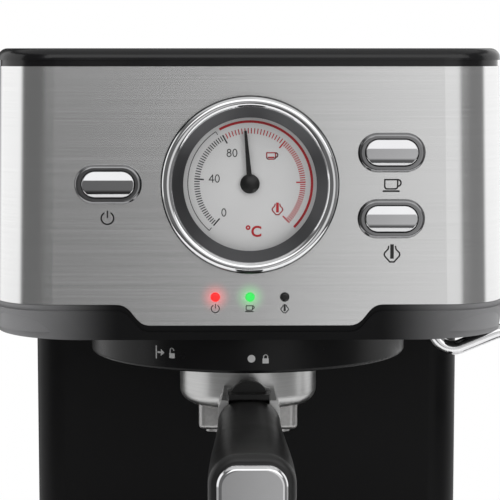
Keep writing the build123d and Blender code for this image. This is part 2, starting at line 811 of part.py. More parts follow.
# Needle with its hub and spindle, at the reading it has at rest
with BuildPart() as gauge_needle:
    with BuildSketch(FRONT.offset(-DIAL_DEPTH + SIDE_GAP)):
        with Locations((0, GAUGE_Z)):
            Circle(HUB_R)
    extrude(amount=HUB_H)
    hub_top = HEAD_FRONT + DIAL_DEPTH - SIDE_GAP - HUB_H
    with Locations((0, hub_top + HUB_DOME_R, GAUGE_Z)):
        Sphere(HUB_DOME_R, mode=Mode.INTERSECT)
    with BuildSketch(FRONT.offset(-DIAL_DEPTH + NEEDLE_LIFT)):
        with Locations(Location((0, GAUGE_Z), -NEEDLE_REST_DEG)):
            Polygon(
                (-NEEDLE_ROOT_W / 2, 0),
                (NEEDLE_ROOT_W / 2, 0),
                (NEEDLE_TIP_W / 2, NEEDLE_L),
                (-NEEDLE_TIP_W / 2, NEEDLE_L),
                align=None,
            )
    extrude(amount=NEEDLE_T)
    with BuildSketch(FRONT.offset(-DIAL_DEPTH + SIDE_GAP)):
        with Locations((0, GAUGE_Z)):
            Circle(SPINDLE_R)
    extrude(amount=-(GAUGE_CASE_L - DIAL_DEPTH))
save(gauge_needle, "gauge_needle")

# Chrome surrounds of the three buttons, each with a guide sleeve behind it
with BuildPart() as button_surrounds:
    with BuildSketch(FRONT):
        with Locations(*front_places()):
            SlotOverall(SURROUND_W, SURROUND_H)
    extrude(amount=SURROUND_PROUD)
    rim_faces = button_surrounds.faces().group_by(Axis.Y)[0]
    fillet(rim_faces.edges(), SURROUND_EDGE_R)
    with BuildSketch(FRONT):
        with Locations(*front_places()):
            SlotOverall(BUTTON_W + 2 * (SLIDE_GAP + SLEEVE_WALL), BUTTON_H + 2 * (SLIDE_GAP + SLEEVE_WALL))
    extrude(amount=-SLEEVE_L)
    with BuildSketch(FRONT.offset(SURROUND_PROUD)):
        with Locations(*front_places()):
            SlotOverall(BUTTON_W + 2 * SLIDE_GAP, BUTTON_H + 2 * SLIDE_GAP)
    extrude(amount=-SURROUND_PROUD - SLEEVE_L, mode=Mode.SUBTRACT)
save(button_surrounds, "button_surrounds")

# Switch bodies behind the sleeves
with BuildPart() as switch_bodies:
    with BuildSketch(FRONT.offset(-SLEEVE_L)):
        with Locations(*front_places()):
            Rectangle(SWITCH_W, SWITCH_H)
    extrude(amount=-SWITCH_L)
    with BuildSketch(FRONT.offset(-SLEEVE_L)):
        with Locations(*front_places()):
            Circle(BUTTON_STEM_R + SLIDE_GAP)
    extrude(amount=-BUTTON_STEM_L - BUTTON_TRAVEL, mode=Mode.SUBTRACT)
save(switch_bodies, "switch_bodies")


def push_button(place):
    """A chrome pill cap, crowned across its height, with the stem that works its switch."""
    with BuildPart() as cap:
        with BuildSketch(FRONT.offset(BUTTON_PROUD)):
            with Locations(place):
                SlotOverall(BUTTON_W, BUTTON_H)
        extrude(amount=-BUTTON_PROUD - BUTTON_L)
        with BuildSketch(Plane.YZ):
            with Locations((HEAD_FRONT - BUTTON_PROUD + BUTTON_CROWN_R, place[1])):
                Circle(BUTTON_CROWN_R)
        extrude(amount=BUTTON_X + BUTTON_W, both=True, mode=Mode.INTERSECT)
        fillet(cap.faces().sort_by(Axis.Y)[0].edges(), BUTTON_EDGE_R)
        with BuildSketch(FRONT.offset(-BUTTON_L)):
            with Locations(place):
                Circle(BUTTON_STEM_R)
        extrude(amount=-(SLEEVE_L - BUTTON_L) - BUTTON_STEM_L + SLIDE_GAP)
    return cap


for button_name, button_place in zip(("power_button", "coffee_button", "steam_button"), front_places()):
    save(push_button(button_place), button_name)


def signal_lamp(place):
    """A round lamp lens through the steel, with a collar behind the carrier."""
    with BuildPart() as lamp:
        with BuildSketch(FRONT.offset(LAMP_PROUD)):
            with Locations(place):
                Circle(LAMP_R)
        extrude(amount=-LAMP_PROUD - LAMP_L)
        fillet(lamp.faces().sort_by(Axis.Y)[0].edges(), LAMP_PROUD)
        with BuildSketch(FRONT.offset(-STEEL_T - FRAME_T)):
            with Locations(place):
                Circle(LAMP_FLANGE_R)
        extrude(amount=-LAMP_FLANGE_T)
    return lamp


for lamp_name, lamp_place in zip(("power_lamp", "ready_lamp", "steam_lamp"), lamp_places()):
    save(signal_lamp(lamp_place), lamp_name)

# Black skirt round the brew group, ending at the column
with BuildPart() as group_skirt:
    with BuildSketch(Plane.XY.offset(HEAD_Z)):
        with Locations((0, GROUP_Y)):
            Circle(SKIRT_R)
    extrude(amount=-SKIRT_H)
    fillet(group_skirt.faces().sort_by(Axis.Z)[0].edges(), SKIRT_EDGE_R)
    with BuildSketch(Plane.XY.offset(HEAD_Z)):
        with Locations((0, GROUP_Y)):
            Circle(SKIRT_R - WALL)
    extrude(amount=-SKIRT_H + WALL, mode=Mode.SUBTRACT)
    with BuildSketch(Plane.XY.offset(HEAD_Z)):
        with Locations((0, GROUP_Y)):
            Circle(RING_R + SIDE_GAP)
        with Locations((0, SKIRT_R - SIDE_GAP)):
            Rectangle(2 * SKIRT_R, 2 * SKIRT_R)
    extrude(amount=-SKIRT_H, mode=Mode.SUBTRACT)
save(group_skirt, "group_skirt")

# Bayonet ring: a flange with notches that the portafilter's ears pass through
with BuildPart() as bayonet_ring:
    with BuildSketch(Plane.XY.offset(RING_Z)):
        with Locations((0, GROUP_Y)):
            Circle(RING_R)
            Circle(RING_FLANGE_R, mode=Mode.SUBTRACT)
    extrude(amount=RING_H)
    with BuildSketch(Plane.XY.offset(FLANGE_TOP)):
        with Locations((0, GROUP_Y)):
            Circle(RING_BORE_R)
    extrude(amount=RING_H, mode=Mode.SUBTRACT)
    with BuildSketch(Plane.XY.offset(RING_Z)) as notches:
        with Locations((0, GROUP_Y)):
            with PolarLocations(0, EAR_COUNT, start_angle=-90 - TWIST_DEG):
                SlotArc(
                    CenterArc((0, 0), (RING_FLANGE_R + RING_BORE_R) / 2, -NOTCH_DEG / 2, NOTCH_DEG),
                    RING_BORE_R - RING_FLANGE_R,
                )
    extrude(amount=RING_FLANGE_H, mode=Mode.SUBTRACT)
save(bayonet_ring, "bayonet_ring")

# Group head between the bayonet ring and the boiler, with grooves for gasket and screen
with BuildPart() as group_head:
    with BuildSketch(Plane.XY.offset(RING_TOP)):
        with Locations((0, GROUP_Y)):
            Circle(RING_R)
    extrude(amount=GROUP_TOP - RING_TOP)
    with BuildSketch(Plane.XY.offset(FLOOR_TOP)):
        with Locations((0, GROUP_Y)):
            Circle(GROUP_FLANGE_R)
    extrude(amount=GROUP_FLANGE_H)
    with BuildSketch(Plane.XY.offset(RING_TOP)):
        with Locations((0, GROUP_Y)):
            Circle(GASKET_R + SCREW_GAP)
            Circle(GASKET_IN_R - SCREW_GAP, mode=Mode.SUBTRACT)
    extrude(amount=GASKET_GROOVE, mode=Mode.SUBTRACT)
    with BuildSketch(Plane.XY.offset(RING_TOP)):
        with Locations((0, GROUP_Y)):
            Circle(SCREEN_R + SIDE_GAP)
    extrude(amount=GASKET_GROOVE - SCREEN_BOSS_DROP, mode=Mode.SUBTRACT)
    with BuildSketch(Plane.XY.offset(RING_TOP)):
        with Locations((0, GROUP_Y)):
            Circle(SCREEN_SCREW_R + SCREW_GAP)
    extrude(amount=SCREEN_SCREW_L, mode=Mode.SUBTRACT)
save(group_head, "group_head")

SCREEN_Z = RING_TOP + GASKET_GROOVE - SCREEN_BOSS_DROP - SCREEN_T

# Rubber gasket that the filter basket's rim is pressed against
with BuildPart() as group_gasket:
    with BuildSketch(Plane.XY.offset(GASKET_Z)):
        with Locations((0, GROUP_Y)):
            Circle(GASKET_R)
            Circle(GASKET_IN_R, mode=Mode.SUBTRACT)
    extrude(amount=GASKET_H)
save(group_gasket, "group_gasket")

# Perforated shower screen
with BuildPart() as shower_screen:
    with BuildSketch(Plane.XY.offset(SCREEN_Z)):
        with Locations((0, GROUP_Y)):
            Circle(SCREEN_R)
            Circle(SCREEN_SCREW_R + SCREW_GAP, mode=Mode.SUBTRACT)
            for ring in range(1, SCREEN_RING_COUNT + 1):
                with PolarLocations(ring * SCREEN_RING_PITCH, ring * SCREEN_HOLE_COUNT):
                    Circle(SCREEN_HOLE_R, mode=Mode.SUBTRACT)
    extrude(amount=SCREEN_T)
save(shower_screen, "shower_screen")

# Screw that holds the shower screen
with BuildPart() as screen_screw:
    with BuildSketch(Plane.XY.offset(SCREEN_Z)):
        with Locations((0, GROUP_Y)):
            Circle(SCREEN_HEAD_R)
    extrude(amount=-SCREEN_HEAD_H)
    with BuildSketch(Plane.XY.offset(SCREEN_Z)):
        with Locations((0, GROUP_Y)):
            Circle(SCREEN_SCREW_R)
    extrude(amount=RING_TOP + SCREEN_SCREW_L - SCREEN_Z)
save(screen_screw, "screen_screw")


def boiler_bolt_places():
    """Centres of the four bolts through the boiler's corners."""
    x = BOILER_W / 2 - BOILER_BOLT_INSET
    y = BOILER_D / 2 - BOILER_BOLT_INSET
    return [(sx * x, GROUP_Y + sy * y) for sx in (-1, 1) for sy in (-1, 1)]


def boiler_block(z, height, chamber_z):
    """One half of the boiler, with its share of the water chamber and four bolt holes."""
    with BuildPart() as half:
        with BuildSketch(Plane.XY.offset(z)):
            with Locations((0, GROUP_Y)):
                RectangleRounded(BOILER_W, BOILER_D, BOILER_R)
        extrude(amount=height)
        with BuildSketch(Plane.XY.offset(chamber_z)):
            with Locations((0, GROUP_Y)):
                RectangleRounded(BOILER_W - 4 * BOILER_WALL, BOILER_D - 4 * BOILER_WALL, BOILER_WALL)
        extrude(amount=CHAMBER_H, mode=Mode.SUBTRACT)
        with BuildSketch(Plane.XY.offset(z)):
            with Locations(*boiler_bolt_places()):
                Circle(BOILER_BOLT_R + SCREW_GAP)
        extrude(amount=height, mode=Mode.SUBTRACT)
    return half


# Boiler in two cast halves, bolted together above the group head
save(boiler_block(GROUP_TOP, BOILER_BASE_H, BOILER_MID - CHAMBER_H), "boiler_base")
save(boiler_block(BOILER_MID, BOILER_LID_H, BOILER_MID), "boiler_lid")

# Bolts of the boiler
with BuildPart() as boiler_bolts:
    with BuildSketch(Plane.XY.offset(BOILER_TOP)):
        with Locations(*boiler_bolt_places()):
            RegularPolygon(BOILER_BOLT_HEAD_R, 6)
    extrude(amount=BOILER_BOLT_HEAD_H)
    with BuildSketch(Plane.XY.offset(BOILER_TOP)):
        with Locations(*boiler_bolt_places()):
            Circle(BOILER_BOLT_R)
    extrude(amount=-BOILER_LID_H - BOILER_BASE_H)
save(boiler_bolts, "boiler_bolts")

# Brew and steam thermostats on the boiler lid
with BuildPart() as thermostats:
    with BuildSketch(Plane.XY.offset(BOILER_TOP)):
        with Locations((-THERMOSTAT_X, GROUP_Y), (THERMOSTAT_X, GROUP_Y)):
            Circle(THERMOSTAT_R)
    extrude(amount=THERMOSTAT_H)
save(thermostats, "thermostats")

# Thin sensing tube from the thermometer down to the boiler lid
with BuildPart() as capillary_tube:
    sense_y = GROUP_Y - BOILER_D / 2 + BOILER_BOLT_INSET
    case_back = HEAD_FRONT + GAUGE_CASE_L
    sense_z = GAUGE_Z + BEARING_R + CAPILLARY_R
    with BuildLine() as sense_path:
        FilletPolyline(
            (0, case_back, sense_z), (0, sense_y, sense_z), (0, sense_y, BOILER_TOP), radius=BEARING_R
        )
    with BuildSketch(Plane(origin=sense_path.line @ 0, z_dir=sense_path.line % 0)):
        Circle(CAPILLARY_R)
    sweep(path=sense_path.line)
save(capillary_tube, "capillary_tube")

# Portafilter casting: bowl, bayonet ears, neck with a slot for the clip, and tang for the handle
EAR_Z = FLANGE_TOP + RIM_GAP
HANDLE_DIR = (0, -math.cos(math.radians(HANDLE_TILT)), -math.sin(math.radians(HANDLE_TILT)))


def handle_plane(along):
    """Plane square to the handle at a distance along it from the neck."""
    y = NECK_FRONT + along * HANDLE_DIR[1]
    z = HANDLE_Z + along * HANDLE_DIR[2]
    return Plane(origin=(0, y, z), x_dir=(1, 0, 0), z_dir=HANDLE_DIR)


HANDLE_START = SIDE_GAP + HANDLE_SECTIONS[0][2] / 2 * math.tan(math.radians(HANDLE_TILT))

# Neck between bowl and handle, narrower at its top
with BuildPart() as neck:
    neck_top = BOWL_TOP - NECK_TOP_DROP
    collar_h = HANDLE_SECTIONS[0][2] / 2
    bowl_face = GROUP_Y - BOWL_R
    with BuildSketch(Plane.YZ):
        Polygon(
            (GROUP_Y - BOWL_IN_R, neck_top),
            (bowl_face - BOWL_FLOOR, neck_top),
            (NECK_FRONT, HANDLE_Z + collar_h),
            (NECK_FRONT, HANDLE_Z - collar_h),
            (NECK_FRONT + BOWL_EDGE_R, HANDLE_Z - collar_h),
            (GROUP_Y - BOWL_IN_R, BOWL_Z + BOWL_FLOOR),
            align=None,
        )
    extrude(amount=NECK_W / 2, both=True)
    with BuildSketch(Plane.XZ):
        Polygon(
            (-NECK_W / 2, HANDLE_Z - collar_h),
            (NECK_W / 2, HANDLE_Z - collar_h),
            (NECK_W / 2, neck_top - NECK_SLOPE_H),
            (NECK_TOP_W / 2, neck_top),
            (-NECK_TOP_W / 2, neck_top),
            (-NECK_W / 2, neck_top - NECK_SLOPE_H),
            align=None,
        )
    extrude(amount=-NECK_FRONT, mode=Mode.INTERSECT)

# Bowl of the portafilter with its ears, neck and handle tang
with BuildPart() as portafilter_body:
    with BuildSketch(Plane.XY.offset(BOWL_Z)):
        with Locations((0, GROUP_Y)):
            Circle(BOWL_R)
    extrude(amount=BOWL_H)
    fillet(portafilter_body.faces().sort_by(Axis.Z)[0].edges(), BOWL_EDGE_R)
    with BuildSketch(Plane.XY.offset(EAR_Z)):
        with Locations((0, GROUP_Y)):
            with PolarLocations(0, EAR_COUNT, start_angle=-90):
                SlotArc(
                    CenterArc((0, 0), (BOWL_IN_R + EAR_R) / 2, -EAR_DEG / 2, EAR_DEG),
                    EAR_R - BOWL_IN_R,
                )
    extrude(amount=EAR_H)
    add(neck.part)
    with BuildSketch(Plane.YZ):
        slot_back = PIN_Y + CLIP_KNUCKLE_R + CLIP_BACK_ROOM
        slot_floor = PIN_Z - CLIP_KNUCKLE_R - 2 * SIDE_GAP
        Polygon(
            (slot_back, BOWL_TOP),
            (slot_back, slot_floor),
            (NECK_FRONT - WALL, slot_floor),
            (NECK_FRONT - WALL, BOWL_TOP),
            align=None,
        )
        with Locations((PIN_Y, PIN_Z)):
            Circle(CLIP_PIN_R)
    extrude(amount=CLIP_W / 2 + SIDE_GAP, both=True, mode=Mode.SUBTRACT)
    with BuildSketch(Plane.YZ):
        with Locations((PIN_Y, PIN_Z)):
            Circle(CLIP_PIN_R)
    extrude(amount=NECK_W, both=True, mode=Mode.SUBTRACT)
    with BuildSketch(handle_plane(0)):
        Circle(TANG_R)
    extrude(amount=TANG_L)
    with BuildSketch(Plane.XY.offset(BOWL_Z)):
        with Locations((0, GROUP_Y)):
            Circle(SPOUT_BOSS_R)
    extrude(amount=-SPOUT_BOSS_L)
    with BuildSketch(Plane.XY.offset(BOWL_Z + BOWL_FLOOR)):
        with Locations((0, GROUP_Y)):
            Circle(BOWL_IN_R)
    extrude(amount=BOWL_H, mode=Mode.SUBTRACT)
    with BuildSketch(Plane.XY.offset(BOWL_Z - SPOUT_BOSS_L)):
        with Locations((0, GROUP_Y)):
            Circle(BOWL_OUTLET_R)
    extrude(amount=BOWL_H, mode=Mode.SUBTRACT)
save(portafilter_body, "portafilter_body")

# Steel filter basket hanging by its rim in the bowl
with BuildPart() as filter_basket:
    with BuildSketch(Plane.XY.offset(RIM_Z)):
        with Locations((0, GROUP_Y)):
            Circle(BASKET_RIM_R)
    extrude(amount=-BASKET_RIM_T)
    with BuildSketch(Plane.XY.offset(RIM_Z)):
        with Locations((0, GROUP_Y)):
            Circle(BASKET_R)
    extrude(amount=-BASKET_DEPTH)
    with BuildSketch(Plane.XY.offset(RIM_Z)):
        with Locations((0, GROUP_Y)):
            Circle(BASKET_R - BASKET_T)
    extrude(amount=-BASKET_DEPTH + BASKET_T, mode=Mode.SUBTRACT)
    with BuildSketch(Plane.XY.offset(RIM_Z - BASKET_DEPTH)):
        with Locations((0, GROUP_Y)):
            for ring in range(1, BASKET_RING_COUNT + 1):
                with PolarLocations(ring * BASKET_RING_PITCH, ring * BASKET_HOLE_COUNT):
                    Circle(BASKET_HOLE_R)
    extrude(amount=BASKET_T, mode=Mode.SUBTRACT)
save(filter_basket, "filter_basket")

# Twin spout under the bowl
with BuildPart() as double_spout:
    with BuildSketch(Plane.XY.offset(BOWL_Z - SPOUT_H)):
        with Locations((0, GROUP_Y)):
            RectangleRounded(SPOUT_W, SPOUT_D, SPOUT_CORNER_R)
    extrude(amount=SPOUT_H)
    fillet(double_spout.faces().sort_by(Axis.Z)[0].edges(), SPOUT_EDGE_R)
    with BuildSketch(Plane.XY.offset(BOWL_Z)):
        with Locations((0, GROUP_Y)):
            Circle(SPOUT_BOSS_R + SCREW_GAP)
    extrude(amount=-SPOUT_BOSS_L - SCREW_GAP, mode=Mode.SUBTRACT)
    with BuildSketch(Plane.XY.offset(BOWL_Z - SPOUT_H)):
        with Locations((-SPOUT_TIP_X, GROUP_Y), (SPOUT_TIP_X, GROUP_Y)):
            Circle(SPOUT_TIP_R)
    extrude(amount=-SPOUT_TIP_L)
    with BuildSketch(Plane.XY.offset(BOWL_Z - SPOUT_H - SPOUT_TIP_L)):
        with Locations((-SPOUT_TIP_X, GROUP_Y), (SPOUT_TIP_X, GROUP_Y)):
            Circle(SPOUT_TIP_BORE_R)
    extrude(amount=SPOUT_TIP_BORE_L, mode=Mode.SUBTRACT)
save(double_spout, "double_spout")

# Handle grip that swells towards its end
with BuildPart() as handle_grip:
    for share, width, height, corner in HANDLE_SECTIONS:
        with BuildSketch(handle_plane(HANDLE_START + share * HANDLE_L)):
            RectangleRounded(width, height, corner)
    loft()
    fillet(handle_grip.faces().sort_by(Axis.Y)[0].edges(), HANDLE_EDGE_R)
    with BuildSketch(handle_plane(0)):
        Circle(TANG_R + SCREW_GAP)
    extrude(amount=TANG_L + SIDE_GAP, mode=Mode.SUBTRACT)
    with BuildSketch(handle_plane(HANDLE_START + HANDLE_L)):
        Circle(END_CAP_STUB_R + SCREW_GAP)
    extrude(amount=-END_CAP_STUB_L - SIDE_GAP, mode=Mode.SUBTRACT)
save(handle_grip, "handle_grip")

# Chrome cap on the handle's end
with BuildPart() as handle_cap:
    cap_w = HANDLE_SECTIONS[-1][1] - 2 * END_CAP_INSET
    cap_h = HANDLE_SECTIONS[-1][2] - 2 * END_CAP_INSET
    with BuildSketch(handle_plane(HANDLE_START + HANDLE_L)):
        RectangleRounded(cap_w, cap_h, END_CAP_R)
    extrude(amount=END_CAP_T)
    fillet(handle_cap.faces().sort_by(Axis.Y)[0].edges(), END_CAP_T / 2)
    with BuildSketch(handle_plane(HANDLE_START + HANDLE_L)):
        Circle(END_CAP_STUB_R)
    extrude(amount=-END_CAP_STUB_L)
save(handle_cap, "handle_cap")

# Pin of the thumb clip, held in the neck's two cheeks
with BuildPart() as clip_pin:
    with BuildSketch(Plane.YZ):
        with Locations((PIN_Y, PIN_Z)):
            Circle(CLIP_PIN_R)
    extrude(amount=NECK_TOP_W / 2, both=True)
save(clip_pin, "clip_pin")

# Thumb clip: a knuckle, a thumb plate over the handle and a round upright tab
with BuildPart() as thumb_clip:
    with BuildSketch(Plane.YZ):
        with Locations((PIN_Y, PIN_Z)):
            Circle(CLIP_KNUCKLE_R)
        plate_low = PIN_Z + CLIP_KNUCKLE_R - CLIP_PLATE_T
        Polygon(
            (PIN_Y, plate_low),
            (PIN_Y, PIN_Z + CLIP_KNUCKLE_R),
            (PIN_Y - CLIP_PLATE_L, PIN_Z + CLIP_KNUCKLE_R),
            (PIN_Y - CLIP_PLATE_L, plate_low),
            align=None,
        )
    extrude(amount=CLIP_W / 2, both=True)
    with BuildSketch(Plane.XZ.offset(-PIN_Y - CLIP_TAB_T / 2)):
        with Locations((0, PIN_Z + CLIP_TAB_TOP - CLIP_TAB_R)):
            Circle(CLIP_TAB_R)
        with Locations((0, PIN_Z)):
            Rectangle(2 * CLIP_TAB_R, 2 * CLIP_TAB_R, align=(Align.CENTER, Align.MAX), mode=Mode.SUBTRACT)
    extrude(amount=CLIP_TAB_T)
    with BuildSketch(Plane.YZ):
        with Locations((PIN_Y, PIN_Z)):
            Circle(CLIP_PIN_R + RUN_GAP)
    extrude(amount=CLIP_W, both=True, mode=Mode.SUBTRACT)
save(thumb_clip, "thumb_clip")

# Fixed socket of the steam wand's ball
with BuildPart() as wand_socket:
    with BuildSketch(Plane.XY.offset(WAND_BALL_Z - SOCKET_LIP)):
        with Locations((WAND_X, WAND_Y)):
            Circle(SOCKET_R)
    extrude(amount=HEAD_Z - WAND_BALL_Z + SOCKET_LIP)
    with BuildSketch(Plane.XY.offset(HEAD_Z)):
        with Locations((WAND_X, WAND_Y)):
            Circle(SOCKET_NECK_R)
    extrude(amount=SOCKET_NECK_L)
    with Locations((WAND_X, WAND_Y, WAND_BALL_Z)):
        Sphere(WAND_BALL_R + SIDE_GAP, mode=Mode.SUBTRACT)
    with BuildSketch(Plane.XY.offset(WAND_BALL_Z)):
        with Locations((WAND_X, WAND_Y)):
            Circle(WAND_BORE_R)
    extrude(amount=HEAD_Z - WAND_BALL_Z + SOCKET_NECK_L, mode=Mode.SUBTRACT)
save(wand_socket, "wand_socket")

# Bent steam tube with the ball that it swivels on
WAND_TIP_Z = HEAD_Z - WAND_TIP_DROP
WAND_END_X = WAND_X + WAND_RISE_X
DIP_Z = WAND_BALL_Z - WAND_DIP_Z
TUBE_END_Z = WAND_TIP_Z + NOZZLE_L - NOZZLE_SEAT

with BuildPart() as wand_tube:
    with BuildLine() as wand_path:
        FilletPolyline(
            (WAND_X, WAND_Y, WAND_BALL_Z),
            (WAND_X + WAND_DIP_X, WAND_Y, DIP_Z),
            (WAND_END_X, WAND_Y, WAND_BALL_Z - WAND_RISE_Z),
            (WAND_END_X, WAND_Y, TUBE_END_Z),
            radius=[WAND_DIP_R, WAND_ARCH_R],
        )
    with BuildSketch(Plane(origin=wand_path.line @ 0, z_dir=wand_path.line % 0)):
        Circle(WAND_R)
    sweep(path=wand_path.line)
    with Locations((WAND_X, WAND_Y, WAND_BALL_Z)):
        Sphere(WAND_BALL_R)
save(wand_tube, "wand_tube")

# Grip sleeve to hold the hot wand by
with BuildPart() as wand_grip:
    with BuildSketch(Plane.XY.offset(WAND_TIP_Z + GRIP_RISE)):
        with Locations((WAND_END_X, WAND_Y)):
            Circle(GRIP_R)
    extrude(amount=GRIP_L)
    fillet(wand_grip.edges().filter_by(GeomType.CIRCLE), WALL)
    with BuildSketch(Plane.XY.offset(WAND_TIP_Z + GRIP_RISE)):
        with Locations((WAND_END_X, WAND_Y)):
            Circle(WAND_R + RUN_GAP)
    extrude(amount=GRIP_L, mode=Mode.SUBTRACT)
save(wand_grip, "wand_grip")

# Froth nozzle on the wand's end
with BuildPart() as froth_nozzle:
    with BuildSketch(Plane.XY.offset(WAND_TIP_Z)):
        with Locations((WAND_END_X, WAND_Y)):
            Circle(NOZZLE_TIP_R)
    with BuildSketch(Plane.XY.offset(WAND_TIP_Z + NOZZLE_L)):
        with Locations((WAND_END_X, WAND_Y)):
            Circle(NOZZLE_R)
    loft()
    with BuildSketch(Plane.XY.offset(TUBE_END_Z)):
        with Locations((WAND_END_X, WAND_Y)):
            Circle(WAND_R + RUN_GAP)
    extrude(amount=NOZZLE_SEAT, mode=Mode.SUBTRACT)
    with BuildSketch(Plane.XY.offset(WAND_TIP_Z)):
        with Locations((WAND_END_X, WAND_Y)):
            Circle(WAND_BORE_R / 2)
    extrude(amount=NOZZLE_L, mode=Mode.SUBTRACT)
save(froth_nozzle, "froth_nozzle")

# Steam valve against the head's right side
SIDE_X = head_half_width(KNOB_Z)
VALVE_FACE = head_half_width(KNOB_Z + VALVE_W / 2) - STEEL_T - RUN_GAP
VALVE_X = VALVE_FACE - VALVE_L / 2
KNOB_BACK = SIDE_X + KNOB_GAP
STEM_END = KNOB_BACK - STEM_L

with BuildPart() as steam_valve:
    with BuildSketch(Plane.YZ.offset(VALVE_FACE)):
        with Locations((KNOB_Y, KNOB_Z)):
            Rectangle(VALVE_W, VALVE_W)
    extrude(amount=-VALVE_L)
    with BuildSketch(Plane.YZ.offset(VALVE_FACE)):
        with Locations((KNOB_Y, KNOB_Z)):
            Circle(VALVE_NECK_R)
    extrude(amount=SIDE_X - VALVE_FACE)
    with BuildSketch(Plane.YZ.offset(SIDE_X)):
        with Locations((KNOB_Y, KNOB_Z)):
            Circle(STEM_R + RUN_GAP)
    extrude(amount=-(SIDE_X - STEM_END) - SIDE_GAP, mode=Mode.SUBTRACT)
save(steam_valve, "steam_valve")

# Fluted steam knob on its stem
with BuildPart() as steam_knob:
    with BuildSketch(Plane.YZ.offset(KNOB_BACK)):
        with Locations((KNOB_Y, KNOB_Z)):
            Circle(KNOB_R)
            with PolarLocations(KNOB_R + KNOB_GRIP_R / 2, KNOB_GRIPS):
                Circle(KNOB_GRIP_R, mode=Mode.SUBTRACT)
    extrude(amount=KNOB_L)
    fillet(steam_knob.faces().sort_by(Axis.X)[-1].edges(), KNOB_GRIP_R / 2)
    with BuildSketch(Plane.YZ.offset(KNOB_BACK)):
        with Locations((KNOB_Y, KNOB_Z)):
            Circle(STEM_R)
    extrude(amount=-STEM_L)
save(steam_knob, "steam_knob")


def tube_along(points, tube_r, bend_r):
    """A solid tube along straight runs with round bends."""
    with BuildPart() as tube:
        with BuildLine() as route:
            FilletPolyline(*points, radius=bend_r)
        with BuildSketch(Plane(origin=route.line @ 0, z_dir=route.line % 0)):
            Circle(tube_r)
        sweep(path=route.line)
    return tube


# Steam pipes from the boiler to the valve and from the valve to the wand's socket
BOILER_SIDE = BOILER_W / 2
PIPE_Y = GROUP_Y + BOILER_D / 4
LID_MID_Z = (BOILER_MID + BOILER_TOP) / 2
SOCKET_TOP = HEAD_Z + SOCKET_NECK_L
boiler_pipe = tube_along(
    [
        (BOILER_SIDE, PIPE_Y, LID_MID_Z),
        (VALVE_X, PIPE_Y, LID_MID_Z),
        (VALVE_X, PIPE_Y, KNOB_Z),
        (VALVE_X, KNOB_Y - VALVE_W / 2, KNOB_Z),
    ],
    PIPE_R,
    PIPE_BEND_R,
)
wand_pipe = tube_along(
    [
        (VALVE_X, KNOB_Y, KNOB_Z - VALVE_W / 2),
        (VALVE_X, KNOB_Y, SOCKET_TOP + PIPE_RISE),
        (WAND_X, WAND_Y, SOCKET_TOP + PIPE_RISE),
        (WAND_X, WAND_Y, SOCKET_TOP),
    ],
    PIPE_R,
    PIPE_BEND_R,
)
with BuildPart() as steam_pipes:
    add(boiler_pipe.part)
    add(wand_pipe.part)
save(steam_pipes, "steam_pipes")

# Drip tray that slides out of the base
with BuildPart() as drip_tray:
    with BuildSketch(Plane.XY.offset(BAY_FLOOR)):
        base_plan(0)
        with Locations((0, TRAY_BACK - SLIDE_GAP - BASE_W / 2)):
            Rectangle(TRAY_W, BASE_W, mode=Mode.INTERSECT)
    extrude(amount=BASE_TOP - BAY_FLOOR)
    with BuildSketch(Plane.XY.offset(BAY_FLOOR + TRAY_WALL)):
        base_plan(TRAY_WALL + TRAY_LEDGE)
        with Locations((0, TRAY_BACK - SLIDE_GAP - TRAY_WALL - TRAY_LEDGE - BASE_W / 2)):
            Rectangle(TRAY_W - 2 * (TRAY_WALL + TRAY_LEDGE), BASE_W, mode=Mode.INTERSECT)
    extrude(amount=BASE_TOP, mode=Mode.SUBTRACT)
    with BuildSketch(Plane.XY.offset(GRID_TOP - GRID_T)):
        base_plan(TRAY_WALL)
        with Locations((0, TRAY_BACK - SLIDE_GAP - TRAY_WALL - BASE_W / 2)):
            Rectangle(TRAY_W - 2 * TRAY_WALL, BASE_W, mode=Mode.INTERSECT)
    extrude(amount=BASE_TOP, mode=Mode.SUBTRACT)
save(drip_tray, "drip_tray")

# Slotted steel grid in the tray's ledge
with BuildPart() as drip_grid:
    grid_back = TRAY_BACK - SLIDE_GAP - TRAY_WALL - SIDE_GAP
    with BuildSketch(Plane.XY.offset(GRID_TOP - GRID_T)):
        base_plan(TRAY_WALL + SIDE_GAP)
        with Locations((0, grid_back - BASE_W / 2)):
            Rectangle(TRAY_W - 2 * (TRAY_WALL + SIDE_GAP), BASE_W, mode=Mode.INTERSECT)
        with Locations((0, (BASE_FRONT + grid_back) / 2)):
            with GridLocations(GRID_SLOT_PITCH_X, GRID_SLOT_PITCH_Y, GRID_SLOT_COLUMNS, GRID_SLOT_ROWS):
                SlotOverall(GRID_SLOT_L, GRID_SLOT_W, rotation=90, mode=Mode.SUBTRACT)
    extrude(amount=GRID_T)
save(drip_grid, "drip_grid")

